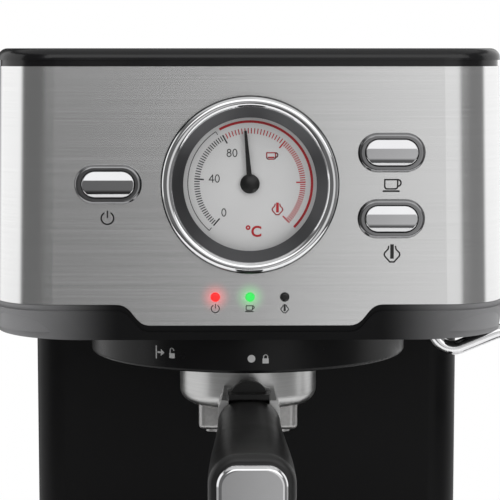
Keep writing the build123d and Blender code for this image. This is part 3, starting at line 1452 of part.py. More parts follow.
# Clear water tank behind the column, with two lugs for the lid
with BuildPart() as water_tank:
    with BuildSketch(Plane.XY.offset(BASE_TOP)) as tank_plan:
        with Locations((0, TANK_MID_Y)):
            Rectangle(TANK_W, TANK_DEPTH)
        fillet(tank_plan.vertices().group_by(Axis.Y)[-1], TANK_R)
    extrude(amount=TANK_RIM - BASE_TOP)
    with BuildSketch(Plane.XY.offset(BASE_TOP + TANK_FLOOR)) as tank_hollow:
        with Locations((0, TANK_MID_Y)):
            Rectangle(TANK_W - 2 * TANK_WALL, TANK_DEPTH - 2 * TANK_WALL)
        fillet(tank_hollow.vertices().group_by(Axis.Y)[-1], TANK_R - TANK_WALL)
    extrude(amount=TANK_RIM, mode=Mode.SUBTRACT)
    with BuildSketch(Plane.XY.offset(BASE_TOP)):
        with Locations((0, TANK_MID_Y)):
            Circle(TANK_OUTLET_R)
    extrude(amount=TANK_FLOOR, mode=Mode.SUBTRACT)
    for lug_x in (-LUG_X, LUG_X):
        with BuildSketch(Plane.YZ.offset(lug_x - LUG_W / 2)):
            with Locations((LID_PIN_Y, LID_PIN_Z)):
                Circle(LID_BARREL_R)
            with Locations((LID_PIN_Y, TANK_RIM - LID_BARREL_R)):
                Rectangle(2 * LID_BARREL_R, LID_PIN_RISE + LID_BARREL_R, align=(Align.CENTER, Align.MIN))
        extrude(amount=LUG_W)
    with BuildSketch(Plane.YZ):
        with Locations((LID_PIN_Y, LID_PIN_Z)):
            Circle(LID_PIN_R + RUN_GAP)
    extrude(amount=TANK_W, both=True, mode=Mode.SUBTRACT)
save(water_tank, "water_tank")

# Tank lid with its hinge barrel and pin
with BuildPart() as tank_lid:
    lid_front = TANK_FRONT + SIDE_GAP
    lid_back = LID_PIN_Y - LID_BARREL_R - SIDE_GAP
    lid_low = TANK_RIM + SIDE_GAP
    with BuildSketch(Plane.XY.offset(lid_low)):
        with Locations((0, (lid_front + lid_back) / 2)):
            Rectangle(TANK_W, lid_back - lid_front)
    extrude(amount=COVER_TOP - lid_low)
    fillet(tank_lid.faces().sort_by(Axis.Z)[-1].edges(), LID_EDGE_R)
    with BuildSketch(Plane.XY.offset(lid_low)):
        with Locations((0, (lid_front + lid_back) / 2)):
            Rectangle(TANK_W - 2 * LID_SKIN, lid_back - lid_front - 2 * LID_SKIN)
    extrude(amount=COVER_TOP - lid_low - LID_SKIN, mode=Mode.SUBTRACT)
    barrel_half = LUG_X - LUG_W / 2 - SIDE_GAP
    with BuildSketch(Plane.YZ):
        with Locations((LID_PIN_Y, LID_PIN_Z)):
            Circle(LID_BARREL_R)
        with Locations((LID_PIN_Y, LID_PIN_Z)):
            Rectangle(LID_BARREL_REACH, LID_BARREL_R, align=(Align.MAX, Align.CENTER))
    extrude(amount=barrel_half, both=True)
    with BuildSketch(Plane.YZ):
        with Locations((LID_PIN_Y, LID_PIN_Z)):
            Circle(LID_PIN_R)
    extrude(amount=LUG_X + LUG_W / 2 + SIDE_GAP, both=True)
save(tank_lid, "tank_lid")

# Socket under the tank's outlet
with BuildPart() as tank_dock:
    with BuildSketch(Plane.XY.offset(BASE_TOP)):
        with Locations((0, TANK_MID_Y)):
            Circle(DOCK_R)
    extrude(amount=-DOCK_L)
    with BuildSketch(Plane.XY.offset(BASE_TOP - WALL)):
        with Locations((0, TANK_MID_Y)):
            Circle(DOCK_FLANGE_R)
    extrude(amount=-DOCK_FLANGE_T)
    with BuildSketch(Plane.XY.offset(BASE_TOP)):
        with Locations((0, TANK_MID_Y)):
            Circle(DOCK_BORE_R)
    extrude(amount=-DOCK_L, mode=Mode.SUBTRACT)
save(tank_dock, "tank_dock")

# Vibration pump lying across the column
with BuildPart() as pump:
    with BuildSketch(Plane.YZ):
        with Locations((PUMP_Y, PUMP_Z)):
            Rectangle(PUMP_COIL_S, PUMP_COIL_S)
    extrude(amount=PUMP_COIL_W / 2, both=True)
    with BuildSketch(Plane.YZ):
        with Locations((PUMP_Y, PUMP_Z)):
            Circle(PUMP_END_R)
    extrude(amount=PUMP_COIL_W / 2 + PUMP_END_L, both=True)
    with BuildSketch(Plane.YZ):
        with Locations((PUMP_Y, PUMP_Z)):
            Circle(PUMP_NIPPLE_R)
    extrude(amount=PUMP_COIL_W / 2 + PUMP_END_L + PUMP_NIPPLE_L, both=True)
save(pump, "pump")

# Rubber mounts under the pump
with BuildPart() as pump_mounts:
    with BuildSketch(Plane.XY.offset(BASE_TOP)):
        with Locations((-MOUNT_X, PUMP_Y), (MOUNT_X, PUMP_Y)):
            Rectangle(MOUNT_W, MOUNT_D)
    extrude(amount=PUMP_RISE - PUMP_COIL_S / 2)
save(pump_mounts, "pump_mounts")

# Suction hose from the tank's socket to the pump
PUMP_END_X = PUMP_COIL_W / 2 + PUMP_END_L + PUMP_NIPPLE_L
DOCK_Z = BASE_TOP - DOCK_L
HOSE_Z = DOCK_Z - SUCTION_DROP
suction_hose = tube_along(
    [
        (0, TANK_MID_Y, DOCK_Z),
        (0, TANK_MID_Y, HOSE_Z),
        (SUCTION_X, PUMP_Y, HOSE_Z),
        (SUCTION_X, PUMP_Y, PUMP_Z),
        (-PUMP_END_X, PUMP_Y, PUMP_Z),
    ],
    SUCTION_R,
    2 * SUCTION_R,
)
save(suction_hose, "suction_hose")

# Pressure hose from the pump up to the boiler
BASE_MID_Z = (GROUP_TOP + BOILER_MID) / 2
pressure_hose = tube_along(
    [
        (PUMP_END_X, PUMP_Y, PUMP_Z),
        (PRESSURE_X, PUMP_Y, PUMP_Z),
        (PRESSURE_X, PUMP_Y, BASE_MID_Z),
        (PRESSURE_X, PIPE_Y, BASE_MID_Z),
        (BOILER_SIDE, PIPE_Y, BASE_MID_Z),
    ],
    PRESSURE_R,
    2 * PRESSURE_R,
)
save(pressure_hose, "pressure_hose")

# Control board standing on the floor of the head
with BuildPart() as control_board:
    with BuildSketch(Plane.XY.offset(FLOOR_TOP)):
        with Locations((BOARD_X, BOARD_Y)):
            Rectangle(BOARD_T, BOARD_L)
    extrude(amount=BOARD_H)
    with BuildSketch(Plane.XY.offset(FLOOR_TOP)):
        with Locations((BOARD_X, BOARD_Y)):
            Rectangle(BOARD_FOOT, BOARD_L)
    extrude(amount=BOARD_FOOT / 2)
    with BuildSketch(Plane.YZ.offset(BOARD_X)):
        with Locations((BOARD_Y, FLOOR_TOP + BOARD_H / 2)):
            with GridLocations(
                BOARD_L / RELAY_COLUMN_COUNT,
                BOARD_H / RELAY_ROW_COUNT,
                RELAY_COLUMN_COUNT,
                RELAY_ROW_COUNT,
            ):
                Rectangle(RELAY_L, RELAY_W)
    extrude(amount=RELAY_H)
save(control_board, "control_board")

# Gland where the mains cord enters the base
with BuildPart() as cord_gland:
    with BuildSketch(Plane.XZ.offset(-BASE_BACK)):
        with Locations((GLAND_X, FOOT_H + GLAND_RISE)):
            Circle(GLAND_FLANGE_R)
    extrude(amount=-GLAND_FLANGE_T)
    with BuildSketch(Plane.XZ.offset(-BASE_BACK)):
        with Locations((GLAND_X, FOOT_H + GLAND_RISE)):
            Circle(GLAND_R)
    extrude(amount=GLAND_L)
    with BuildSketch(Plane.XZ.offset(-BASE_BACK - GLAND_FLANGE_T)):
        with Locations((GLAND_X, FOOT_H + GLAND_RISE)):
            Circle(GLAND_BORE_R)
    extrude(amount=GLAND_L + GLAND_FLANGE_T, mode=Mode.SUBTRACT)
save(cord_gland, "cord_gland")
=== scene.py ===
"""Studio scene of the espresso machine: materials, printed marks, light and camera."""
import math

import bmesh
import bpy
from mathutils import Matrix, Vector


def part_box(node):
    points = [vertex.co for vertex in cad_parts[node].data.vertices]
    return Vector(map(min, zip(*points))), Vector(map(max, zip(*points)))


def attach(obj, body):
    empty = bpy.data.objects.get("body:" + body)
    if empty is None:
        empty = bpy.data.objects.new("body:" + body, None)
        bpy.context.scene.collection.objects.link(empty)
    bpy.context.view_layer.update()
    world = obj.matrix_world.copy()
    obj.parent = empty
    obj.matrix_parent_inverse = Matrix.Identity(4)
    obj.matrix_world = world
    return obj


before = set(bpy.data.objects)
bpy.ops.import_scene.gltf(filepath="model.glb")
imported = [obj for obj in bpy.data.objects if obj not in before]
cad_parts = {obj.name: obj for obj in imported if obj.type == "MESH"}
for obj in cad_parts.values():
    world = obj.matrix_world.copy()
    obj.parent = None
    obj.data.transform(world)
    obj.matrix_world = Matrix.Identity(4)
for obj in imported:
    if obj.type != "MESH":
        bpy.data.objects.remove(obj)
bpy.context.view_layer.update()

MM = 0.001

# Camera, in metres and degrees
CAMERA_AT = (-0.009, -0.875, 0.313)
CAMERA_LOOKS_AT = (0.0, -0.125, 0.233)
CAMERA_LENS = 135.0
SENSOR_WIDTH = 36.0

# Range of a noise texture that the materials use
NOISE_LOW = 0.3
NOISE_HIGH = 0.7

# Faces that carry printed marks, in millimetres
INK_LIFT = 0.06
PANEL_FRONT_Y = -125.0
GAUGE_Z = 259.5
SKIRT_R = 69.5
SKIRT_AXIS_Y = -45.0

# Gauge bezel, in millimetres: a darker inner cone painted to stand in for the dark it reflects, chrome, and a
# painted shadow at the foot where it meets the steel
BEZEL_CONE_R = 31.1
BEZEL_CONE_BLEND = 0.1
BEZEL_CONE_ROUGHNESS = 0.4
BEZEL_ROUGHNESS = 0.06
BEZEL_FOOT_SHADOW_W = 0.9

# Signal lamps and the glow of the lit ones on the steel, painted as emission in the steel's material, in
# millimetres
LAMP_PITCH = 14.0
HALO_R = 8.0
HALO_FALL = 1.6
HALO_RED = (0.55, 0.03, 0.03)
HALO_GREEN = (0.03, 0.4, 0.06)

# Marks at the knob and on the tank, in millimetres and degrees clockwise from the top
WEDGE_R = 20.0
WEDGE_W = 2.4
WEDGE_FROM = 35.0
WEDGE_TO = -55.0
WEDGE_STEPS = 24
KNOB_ICON_RISE = 31.0
LEVEL_LOW_Z = 95.0
LEVEL_PITCH = 20.0
LEVEL_COUNT = 9
LEVEL_LONG = 18.0
LEVEL_SHORT = 10.0
LEVEL_LINE = 0.9
DROP_ICON = 9.0
DROP_ICON_LINE = 0.8

# Where the painted grey sheen on the lower trim's front corners begins and ends, in millimetres
SHEEN_FROM_X = 52.0
SHEEN_TO_X = 106.0
SHEEN_FROM_Y = -60.0
SHEEN_TO_Y = -112.0

# Dial scale: angles are degrees clockwise from the top
SCALE_ANGLES = (-139.0, -84.8, -29.3, 39.5, 88.4, 134.6)
SCALE_COLD_SECTIONS = 2
SCALE_STEPS = 20
TICK_OUT_R = 22.4
TICK_MINOR_R = 20.2
TICK_MAJOR_R = 18.6
TICK_W = 0.4
TICK_MAJOR_W = 0.56
ARC_R = 25.0
ARC_COLD_W = 0.28
ARC_HOT_W = 1.0
ARC_GAP = 4.0
HOOK_L = 1.4
FIGURE_H = 3.0
FIGURE_LINE = 0.36
FIGURE_PITCH = 0.78
FIGURES_AT = {"0": (-10.5, -11.6), "40": (-14.3, 2.1), "80": (-7.2, 12.4)}
DEGREES_H = 4.4
DEGREES_BOLDNESS = 0.16
DEGREES_AT = (1.4, -19.5)
DIAL_ICON = 5.0
DIAL_ICON_LINE = 0.45
DIAL_CUP_AT = (8.9, 10.8)
DIAL_STEAM_AT = (11.1, -10.1)

# Icons on the steel front and marks on the skirt
POWER_ICON = 5.6
BUTTON_ICON = 7.3
BUTTON_ICON_LINE = 0.6
BUTTON_ICON_X = 57.2
POWER_ICON_Z = 245.9
COFFEE_ICON_Z = 258.9
STEAM_ICON_Z = 231.6
LAMP_ICON = 3.6
LAMP_ICON_LINE = 0.36
LAMP_ICON_Z = 209.2
LOCK_ICON = 4.0
LOCK_ICON_LINE = 0.4
LOCK_DOT_R = 1.6
INSERT_Z = 188.0
INSERT_ARROW_DEG = -32.3
INSERT_LOCK_DEG = -27.5
LOCK_Z = 187.0
LOCK_DOT_DEG = 0.6
LOCK_LOCK_DEG = 5.4


def new_material(name):
    """An empty node material and its main shader."""
    material = bpy.data.materials.new(name)
    material.use_nodes = True
    shader = material.node_tree.nodes["Principled BSDF"]
    return material, material.node_tree, shader


def add_math(tree, operation, first, second):
    """A maths node; its inputs are sockets or numbers."""
    node = tree.nodes.new("ShaderNodeMath")
    node.operation = operation
    for socket, value in zip(node.inputs, (first, second)):
        if isinstance(value, (int, float)):
            socket.default_value = value
        else:
            tree.links.new(value, socket)
    return node.outputs["Value"]


def add_span(tree, value, start, end):
    """A smooth rise from 0 at start to 1 at end."""
    span = tree.nodes.new("ShaderNodeMapRange")
    span.interpolation_type = "SMOOTHSTEP"
    span.inputs["From Min"].default_value = start
    span.inputs["From Max"].default_value = end
    tree.links.new(value, span.inputs["Value"])
    return span.outputs["Result"]


def add_noise(tree, scale, stretch=(1.0, 1.0, 1.0), detail=3.0):
    """A noise texture in the machine's own coordinates, in cycles per metre."""
    coords = tree.nodes.new("ShaderNodeTexCoord")
    mapping = tree.nodes.new("ShaderNodeMapping")
    mapping.inputs["Scale"].default_value = stretch
    noise = tree.nodes.new("ShaderNodeTexNoise")
    noise.inputs["Scale"].default_value = scale
    noise.inputs["Detail"].default_value = detail
    tree.links.new(coords.outputs["Object"], mapping.inputs["Vector"])
    tree.links.new(mapping.outputs["Vector"], noise.inputs["Vector"])
    return noise.outputs["Fac"]


def vary_colour(tree, shader, noise, colour, spread):
    """Base colour that drifts about a mean with the noise."""
    ramp = tree.nodes.new("ShaderNodeValToRGB")
    ramp.color_ramp.elements[0].position = NOISE_LOW
    ramp.color_ramp.elements[1].position = NOISE_HIGH
    for stop, factor in zip(ramp.color_ramp.elements, (1.0 - spread, 1.0 + spread)):
        stop.color = [min(1.0, channel * factor) for channel in colour] + [1.0]
    tree.links.new(noise, ramp.inputs["Fac"])
    tree.links.new(ramp.outputs["Color"], shader.inputs["Base Color"])


def vary_roughness(tree, shader, noise, low, high):
    """Roughness that follows the noise between two values."""
    span = tree.nodes.new("ShaderNodeMapRange")
    span.inputs["From Min"].default_value = NOISE_LOW
    span.inputs["From Max"].default_value = NOISE_HIGH
    span.inputs["To Min"].default_value = low
    span.inputs["To Max"].default_value = high
    tree.links.new(noise, span.inputs["Value"])
    tree.links.new(span.outputs["Result"], shader.inputs["Roughness"])


def add_bump(tree, shader, noise, depth, strength=1.0):
    """Surface relief of the given depth in metres."""
    bump = tree.nodes.new("ShaderNodeBump")
    bump.inputs["Distance"].default_value = depth
    bump.inputs["Strength"].default_value = strength
    tree.links.new(noise, bump.inputs["Height"])
    tree.links.new(bump.outputs["Normal"], shader.inputs["Normal"])


def plastic(name, colour, roughness, grain=2200.0, depth=0.00001, spread=0.12, gloss=0.5):
    """Moulded plastic: fine grain, faint flow clouds and slightly uneven gloss."""
    material, tree, shader = new_material(name)
    clouds = add_noise(tree, 45.0)
    vary_colour(tree, shader, clouds, colour, spread)
    vary_roughness(tree, shader, clouds, roughness - 0.04, roughness + 0.04)
    add_bump(tree, shader, add_noise(tree, grain), depth)
    shader.inputs["Specular IOR Level"].default_value = gloss
    return material


def brushed(name, colour, low, high, stretch, anisotropy=0.55, depth=0.000004, spread=0.07):
    """Brushed metal: streaks drawn out along the brushing."""
    material, tree, shader = new_material(name)
    streaks = add_noise(tree, 1.0, stretch, detail=6.0)
    vary_colour(tree, shader, streaks, colour, spread)
    vary_roughness(tree, shader, streaks, low, high)
    add_bump(tree, shader, streaks, depth)
    shader.inputs["Metallic"].default_value = 1.0
    shader.inputs["Anisotropic"].default_value = anisotropy
    shader.inputs["Anisotropic Rotation"].default_value = 0.25
    return material


def polished(name, colour, low, high, clouds=60.0, spread=0.02):
    """Polished or satin metal with faint handling marks."""
    material, tree, shader = new_material(name)
    smudges = add_noise(tree, clouds, detail=5.0)
    vary_colour(tree, shader, smudges, colour, spread)
    vary_roughness(tree, shader, smudges, low, high)
    shader.inputs["Metallic"].default_value = 1.0
    return material


def cast(name, colour, low, high):
    """Cast or turned metal with a coarse skin."""
    material, tree, shader = new_material(name)
    skin = add_noise(tree, 700.0, detail=4.0)
    vary_colour(tree, shader, skin, colour, 0.08)
    vary_roughness(tree, shader, skin, low, high)
    add_bump(tree, shader, skin, 0.00003)
    shader.inputs["Metallic"].default_value = 1.0
    return material


def clear(name, colour, alpha, roughness):
    """Clear moulding seen through, with its surface gloss."""
    material, tree, shader = new_material(name)
    clouds = add_noise(tree, 30.0)
    vary_colour(tree, shader, clouds, colour, 0.05)
    vary_roughness(tree, shader, clouds, roughness * 0.7, roughness * 1.3)
    shader.inputs["Alpha"].default_value = alpha
    return material


def lit(name, colour, glow):
    """A lamp lens with light behind it."""
    material, tree, shader = new_material(name)
    clouds = add_noise(tree, 500.0)
    vary_colour(tree, shader, clouds, colour, 0.15)
    vary_roughness(tree, shader, clouds, 0.12, 0.2)
    shader.inputs["Emission Color"].default_value = (*colour, 1.0)
    shader.inputs["Emission Strength"].default_value = glow
    return material


def add_reach(tree, centre_x, centre_z):
    """Distance from an axis that runs front to back, in metres."""
    coords = tree.nodes.new("ShaderNodeTexCoord")
    offset = tree.nodes.new("ShaderNodeVectorMath")
    offset.operation = "SUBTRACT"
    offset.inputs[1].default_value = (centre_x * MM, 0.0, centre_z * MM)
    flat = tree.nodes.new("ShaderNodeVectorMath")
    flat.operation = "MULTIPLY"
    flat.inputs[1].default_value = (1.0, 0.0, 1.0)
    length = tree.nodes.new("ShaderNodeVectorMath")
    length.operation = "LENGTH"
    tree.links.new(coords.outputs["Object"], offset.inputs[0])
    tree.links.new(offset.outputs["Vector"], flat.inputs[0])
    tree.links.new(flat.outputs["Vector"], length.inputs[0])
    return length.outputs["Value"]


def ring_with_painted_reflection_and_shadow(name, outside, cone_painted_reflection, foot):
    """Chrome ring round the gauge's axis, with a painted dark reflection on its inner cone and a painted
    shadow at its foot where it meets the steel.
    """
    material = polished(name, outside, 0.05, 0.1)
    tree = material.node_tree
    shader = tree.nodes["Principled BSDF"]
    reach = add_reach(tree, 0.0, GAUGE_Z)
    cone_end = (BEZEL_CONE_R - BEZEL_CONE_BLEND) * MM
    chrome_start = (BEZEL_CONE_R + BEZEL_CONE_BLEND) * MM
    outer_share = add_span(tree, reach, cone_end, chrome_start)
    # painted shadow: the outermost rim of the bezel turns dark where it meets the steel
    foot_shadow_share = add_span(tree, reach, (BEZEL_R - BEZEL_FOOT_SHADOW_W) * MM, (BEZEL_R - BEZEL_FOOT_SHADOW_W / 2) * MM)
    zone = add_math(tree, "MULTIPLY", add_math(tree, "ADD", outer_share, foot_shadow_share), 0.5)
    ramp = tree.nodes.new("ShaderNodeValToRGB")
    ramp.color_ramp.elements.new(0.5)
    # the inner colour is a painted dark reflection on the cone, the foot colour a painted shadow
    for stop, colour in zip(ramp.color_ramp.elements, (cone_painted_reflection, outside, foot)):
        stop.color = (*colour, 1.0)
    tree.links.new(zone, ramp.inputs["Fac"])
    tree.links.new(ramp.outputs["Color"], shader.inputs["Base Color"])
    gloss = tree.nodes.new("ShaderNodeMapRange")
    gloss.inputs["To Min"].default_value = BEZEL_CONE_ROUGHNESS
    gloss.inputs["To Max"].default_value = BEZEL_ROUGHNESS
    tree.links.new(outer_share, gloss.inputs["Value"])
    tree.links.new(gloss.outputs["Result"], shader.inputs["Roughness"])
    return material


def painted_halos(material, halos):
    """Painted glow of the signal lamps on the steel round them, made as emission in the steel's own material.
    """
    tree = material.node_tree
    shader = tree.nodes["Principled BSDF"]
    channels = [0.0, 0.0, 0.0]
    for centre_x, colour in halos:
        reach = add_reach(tree, centre_x, LAMP_Z)
        glow = add_math(tree, "POWER", add_span(tree, reach, HALO_R * MM, 0.0), HALO_FALL)
        for index, level in enumerate(colour):
            share = add_math(tree, "MULTIPLY", glow, level)
            channels[index] = add_math(tree, "ADD", channels[index], share)
    join = tree.nodes.new("ShaderNodeCombineXYZ")
    for socket, channel in zip(join.inputs, channels):
        tree.links.new(channel, socket)
    tree.links.new(join.outputs["Vector"], shader.inputs["Emission Color"])
    shader.inputs["Emission Strength"].default_value = 1.0
    return material


def corner_sheen_painted(name, middle, corner, roughness, gloss):
    """Moulded black plastic with a painted satin-grey sheen round the two front corners, where side light
    catches it.
    """
    material = plastic(name, middle, roughness, gloss=gloss)
    tree = material.node_tree
    shader = tree.nodes["Principled BSDF"]
    coords = tree.nodes.new("ShaderNodeTexCoord")
    split = tree.nodes.new("ShaderNodeSeparateXYZ")
    tree.links.new(coords.outputs["Object"], split.inputs["Vector"])
    across = add_math(tree, "ABSOLUTE", split.outputs["X"], 0.0)
    sheen_sideways = add_span(tree, across, SHEEN_FROM_X * MM, SHEEN_TO_X * MM)
    forward = add_span(tree, split.outputs["Y"], SHEEN_FROM_Y * MM, SHEEN_TO_Y * MM)
    # painted sheen: the corner colour grows in towards the two front corners
    ramp = tree.nodes.new("ShaderNodeValToRGB")
    ramp.color_ramp.elements[0].color = (*middle, 1.0)
    ramp.color_ramp.elements[1].color = (*corner, 1.0)
    tree.links.new(add_math(tree, "MULTIPLY", sheen_sideways, forward), ramp.inputs["Fac"])
    tree.links.new(ramp.outputs["Color"], shader.inputs["Base Color"])
    return material


bezel_low, bezel_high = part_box("gauge_bezel")
BEZEL_R = (bezel_high[0] - bezel_low[0]) / 2 / MM
lamp_low, lamp_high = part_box("power_lamp")
LAMP_Z = (lamp_low[2] + lamp_high[2]) / 2 / MM

# Materials, each with the nodes that wear it
HORIZONTAL_BRUSH = (12.0, 12.0, 4200.0)
FRONT_STEEL = brushed(
    "brushed_steel", (0.90, 0.90, 0.90), 0.19, 0.23, HORIZONTAL_BRUSH, anisotropy=0.75, spread=0.03,
)
FINISHES = [
    (plastic("satin_black", (0.003, 0.003, 0.0033), 0.4, gloss=0.15),
     ["base_shell", "column_shell", "rear_cover", "bottom_cover", "drip_tray"]),
    # lower trim: black, with a painted grey sheen at the front corners
    (corner_sheen_painted("trim_black", (0.003, 0.003, 0.0033), (0.25, 0.25, 0.255), 0.4, 0.15), ["lower_trim"]),
    (plastic("skirt_black", (0.003, 0.003, 0.0033), 0.3, gloss=0.25), ["group_skirt"]),
    (plastic("gloss_black", (0.004, 0.004, 0.0045), 0.2, depth=0.000002), ["top_cover", "tank_lid"]),
    # the front steel carries a painted glow round the red and green lamps
    (painted_halos(FRONT_STEEL, [(-LAMP_PITCH, HALO_RED), (0.0, HALO_GREEN)]), ["front_panel"]),
    (brushed("plate_steel", (0.66, 0.655, 0.65), 0.22, 0.32, (6.0, 2600.0, 6.0)), ["cup_plate", "drip_grid"]),
    (polished("bright_chrome", (0.86, 0.86, 0.87), 0.05, 0.11),
     ["wand_tube", "froth_nozzle", "handle_cap"]),
    # bezel colours: chrome, a painted dark reflection on the inner cone, a painted shadow at the foot
    (ring_with_painted_reflection_and_shadow("bezel_chrome", (0.86, 0.86, 0.87), (0.13, 0.13, 0.135), (0.02, 0.02, 0.02)), ["gauge_bezel"]),
    (polished("surround_chrome", (0.29, 0.29, 0.295), 0.1, 0.16), ["button_surrounds"]),
    (polished("button_chrome", (0.66, 0.66, 0.67), 0.04, 0.07),
     ["power_button", "coffee_button", "steam_button"]),
    (polished("plated_steel", (0.55, 0.55, 0.56), 0.25, 0.4),
     ["base_screws", "boiler_bolts", "screen_screw", "clip_pin"]),
    (brushed("bowl_steel", (0.62, 0.62, 0.615), 0.3, 0.36, (40.0, 40.0, 1800.0), anisotropy=0.3),
     ["portafilter_body", "filter_basket", "shower_screen"]),
    (cast("cast_aluminium", (0.60, 0.60, 0.60), 0.35, 0.5),
     ["boiler_base", "boiler_lid", "group_head", "bayonet_ring"]),
    (cast("spout_metal", (0.45, 0.445, 0.44), 0.28, 0.38), ["double_spout"]),
    (clear("clear_lens", (0.02, 0.02, 0.02), 0.05, 0.04), ["gauge_lens"]),
    (plastic("dial_face", (0.74, 0.74, 0.74), 0.5, grain=900.0, spread=0.03), ["gauge_dial"]),
    (plastic("needle_black", (0.008, 0.008, 0.008), 0.35), ["gauge_needle"]),
    (plastic("inner_plastic", (0.04, 0.04, 0.042), 0.45),
     ["panel_frame", "gauge_case", "switch_bodies", "tank_dock", "wand_socket", "cord_gland", "thermostats"]),
    (lit("red_lens", (0.75, 0.02, 0.02), 0.8), ["power_lamp"]),
    (lit("green_lens", (0.03, 0.55, 0.08), 0.8), ["ready_lamp"]),
    (lit("dark_lens", (0.01, 0.01, 0.01), 0.0), ["steam_lamp"]),
    (plastic("seal_rubber", (0.022, 0.022, 0.022), 0.6, grain=1400.0, depth=0.00002),
     ["group_gasket", "rubber_feet", "pump_mounts"]),
    (polished("copper_tube", (0.75, 0.40, 0.25), 0.2, 0.35), ["capillary_tube", "steam_pipes"]),
    (polished("valve_brass", (0.74, 0.57, 0.28), 0.22, 0.36), ["steam_valve"]),
    (plastic("handle_black", (0.008, 0.008, 0.008), 0.36, grain=1500.0, depth=0.000012),
     ["handle_grip", "thumb_clip", "steam_knob", "wand_grip"]),
    (clear("tank_clear", (0.16, 0.17, 0.18), 0.5, 0.12), ["water_tank"]),
    (cast("pump_body", (0.12, 0.12, 0.13), 0.4, 0.55), ["pump"]),
    (plastic("silicone", (0.6, 0.6, 0.58), 0.4), ["suction_hose"]),
    (plastic("drawn_tube", (0.72, 0.72, 0.70), 0.35), ["pressure_hose"]),
    (plastic("board_green", (0.03, 0.17, 0.06), 0.4, grain=800.0, spread=0.3), ["control_board"]),
]
for finish, wearers in FINISHES:
    for wearer in wearers:
        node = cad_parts[wearer]
        node.data.materials.clear()
        node.data.materials.append(finish)


# Inks for the printed marks
INK_BLACK = plastic("ink_black", (0.012, 0.012, 0.012), 0.5)
INK_GREY = plastic("ink_grey", (0.02, 0.02, 0.022), 0.5)
INK_RED = plastic("ink_red", (0.52, 0.012, 0.02), 0.5)
INK_WHITE = plastic("ink_white", (0.45, 0.45, 0.45), 0.5)


def print_marks(name, polygons, ink, place, body="machine"):
    """Thin ink from flat polygons in millimetres; place turns a flat point into one in space."""
    mesh = bpy.data.meshes.new(name)
    build = bmesh.new()
    for polygon in polygons:
        corners = [build.verts.new(place(across, up)) for across, up in polygon]
        build.faces.new(corners)
    bmesh.ops.recalc_face_normals(build, faces=build.faces)
    build.to_mesh(mesh)
    build.free()
    marks = bpy.data.objects.new(name, mesh)
    bpy.context.scene.collection.objects.link(marks)
    mesh.materials.append(ink)
    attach(marks, body)
    return marks


def on_front(centre_x, centre_z, surface_y=PANEL_FRONT_Y):
    """Places flat points on a face that looks to the front."""
    depth = surface_y - INK_LIFT
    return lambda across, up: Vector(((centre_x + across) * MM, depth * MM, (centre_z + up) * MM))


def on_skirt(angle, centre_z):
    """Places flat points on the round skirt, angle in degrees to the right of the front."""
    radius = SKIRT_R + INK_LIFT

    def place(across, up):
        turn = math.radians(angle) + across / radius
        return Vector((
            radius * math.sin(turn) * MM,
            (SKIRT_AXIS_Y - radius * math.cos(turn)) * MM,
            (centre_z + up) * MM,
        ))

    return place


def on_right_side(node_name, centre_y, centre_z):
    """Places flat points on a face that looks to the right."""
    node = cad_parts[node_name]

    def place(across, up):
        start = Vector((1.0, (centre_y + across) * MM, (centre_z + up) * MM))
        spot, normal = node.ray_cast(start, Vector((-1.0, 0.0, 0.0)))[1:3]
        return spot + normal * INK_LIFT * MM

    return place


def clock(radius, angle):
    """A point at a radius and an angle clockwise from the top."""
    turn = math.radians(angle)
    return radius * math.sin(turn), radius * math.cos(turn)


def band(inner, outer, start, end, step=3.0):
    """Quads along part of a ring."""
    count = max(1, math.ceil(abs(end - start) / step))
    angles = [start + (end - start) * i / count for i in range(count + 1)]
    return [
        [clock(inner, a), clock(outer, a), clock(outer, b), clock(inner, b)]
        for a, b in zip(angles, angles[1:])
    ]


def stroke(points, width):
    """A line of even width with round joints and ends."""
    half = width / 2
    shapes = []
    for (x0, z0), (x1, z1) in zip(points, points[1:]):
        length = math.hypot(x1 - x0, z1 - z0)
        side_x = -(z1 - z0) / length * half
        side_z = (x1 - x0) / length * half
        shapes.append([
            (x0 + side_x, z0 + side_z),
            (x1 + side_x, z1 + side_z),
            (x1 - side_x, z1 - side_z),
            (x0 - side_x, z0 - side_z),
        ])
    for point in points:
        shapes += disc(half, centre=point, count=10)
    return shapes


def tick(inner, outer, angle, width):
    """A straight mark along a radius of the dial."""
    lean_x = math.cos(math.radians(angle)) * width / 2
    lean_z = math.sin(math.radians(angle)) * width / 2
    (x0, z0), (x1, z1) = clock(inner, angle), clock(outer, angle)
    return [
        (x0 - lean_x, z0 + lean_z),
        (x0 + lean_x, z0 - lean_z),
        (x1 + lean_x, z1 - lean_z),
        (x1 - lean_x, z1 + lean_z),
    ]


def arc_points(radius, start, end, centre=(0.0, 0.0), count=16):
    """Points along an arc, angles clockwise from the top."""
    angles = [start + (end - start) * i / count for i in range(count + 1)]
    return [(centre[0] + clock(radius, a)[0], centre[1] + clock(radius, a)[1]) for a in angles]


def disc(radius, centre=(0.0, 0.0), count=20):
    """A round dot."""
    return [arc_points(radius, 0, 360, centre, count)[:-1]]


def power_icon(size, width):
    """An open ring with a bar in its gap."""
    radius = size / 2 - width / 2
    return stroke(arc_points(radius, 35, 325), width) + stroke([(0, radius * 0.15), (0, size / 2)], width)


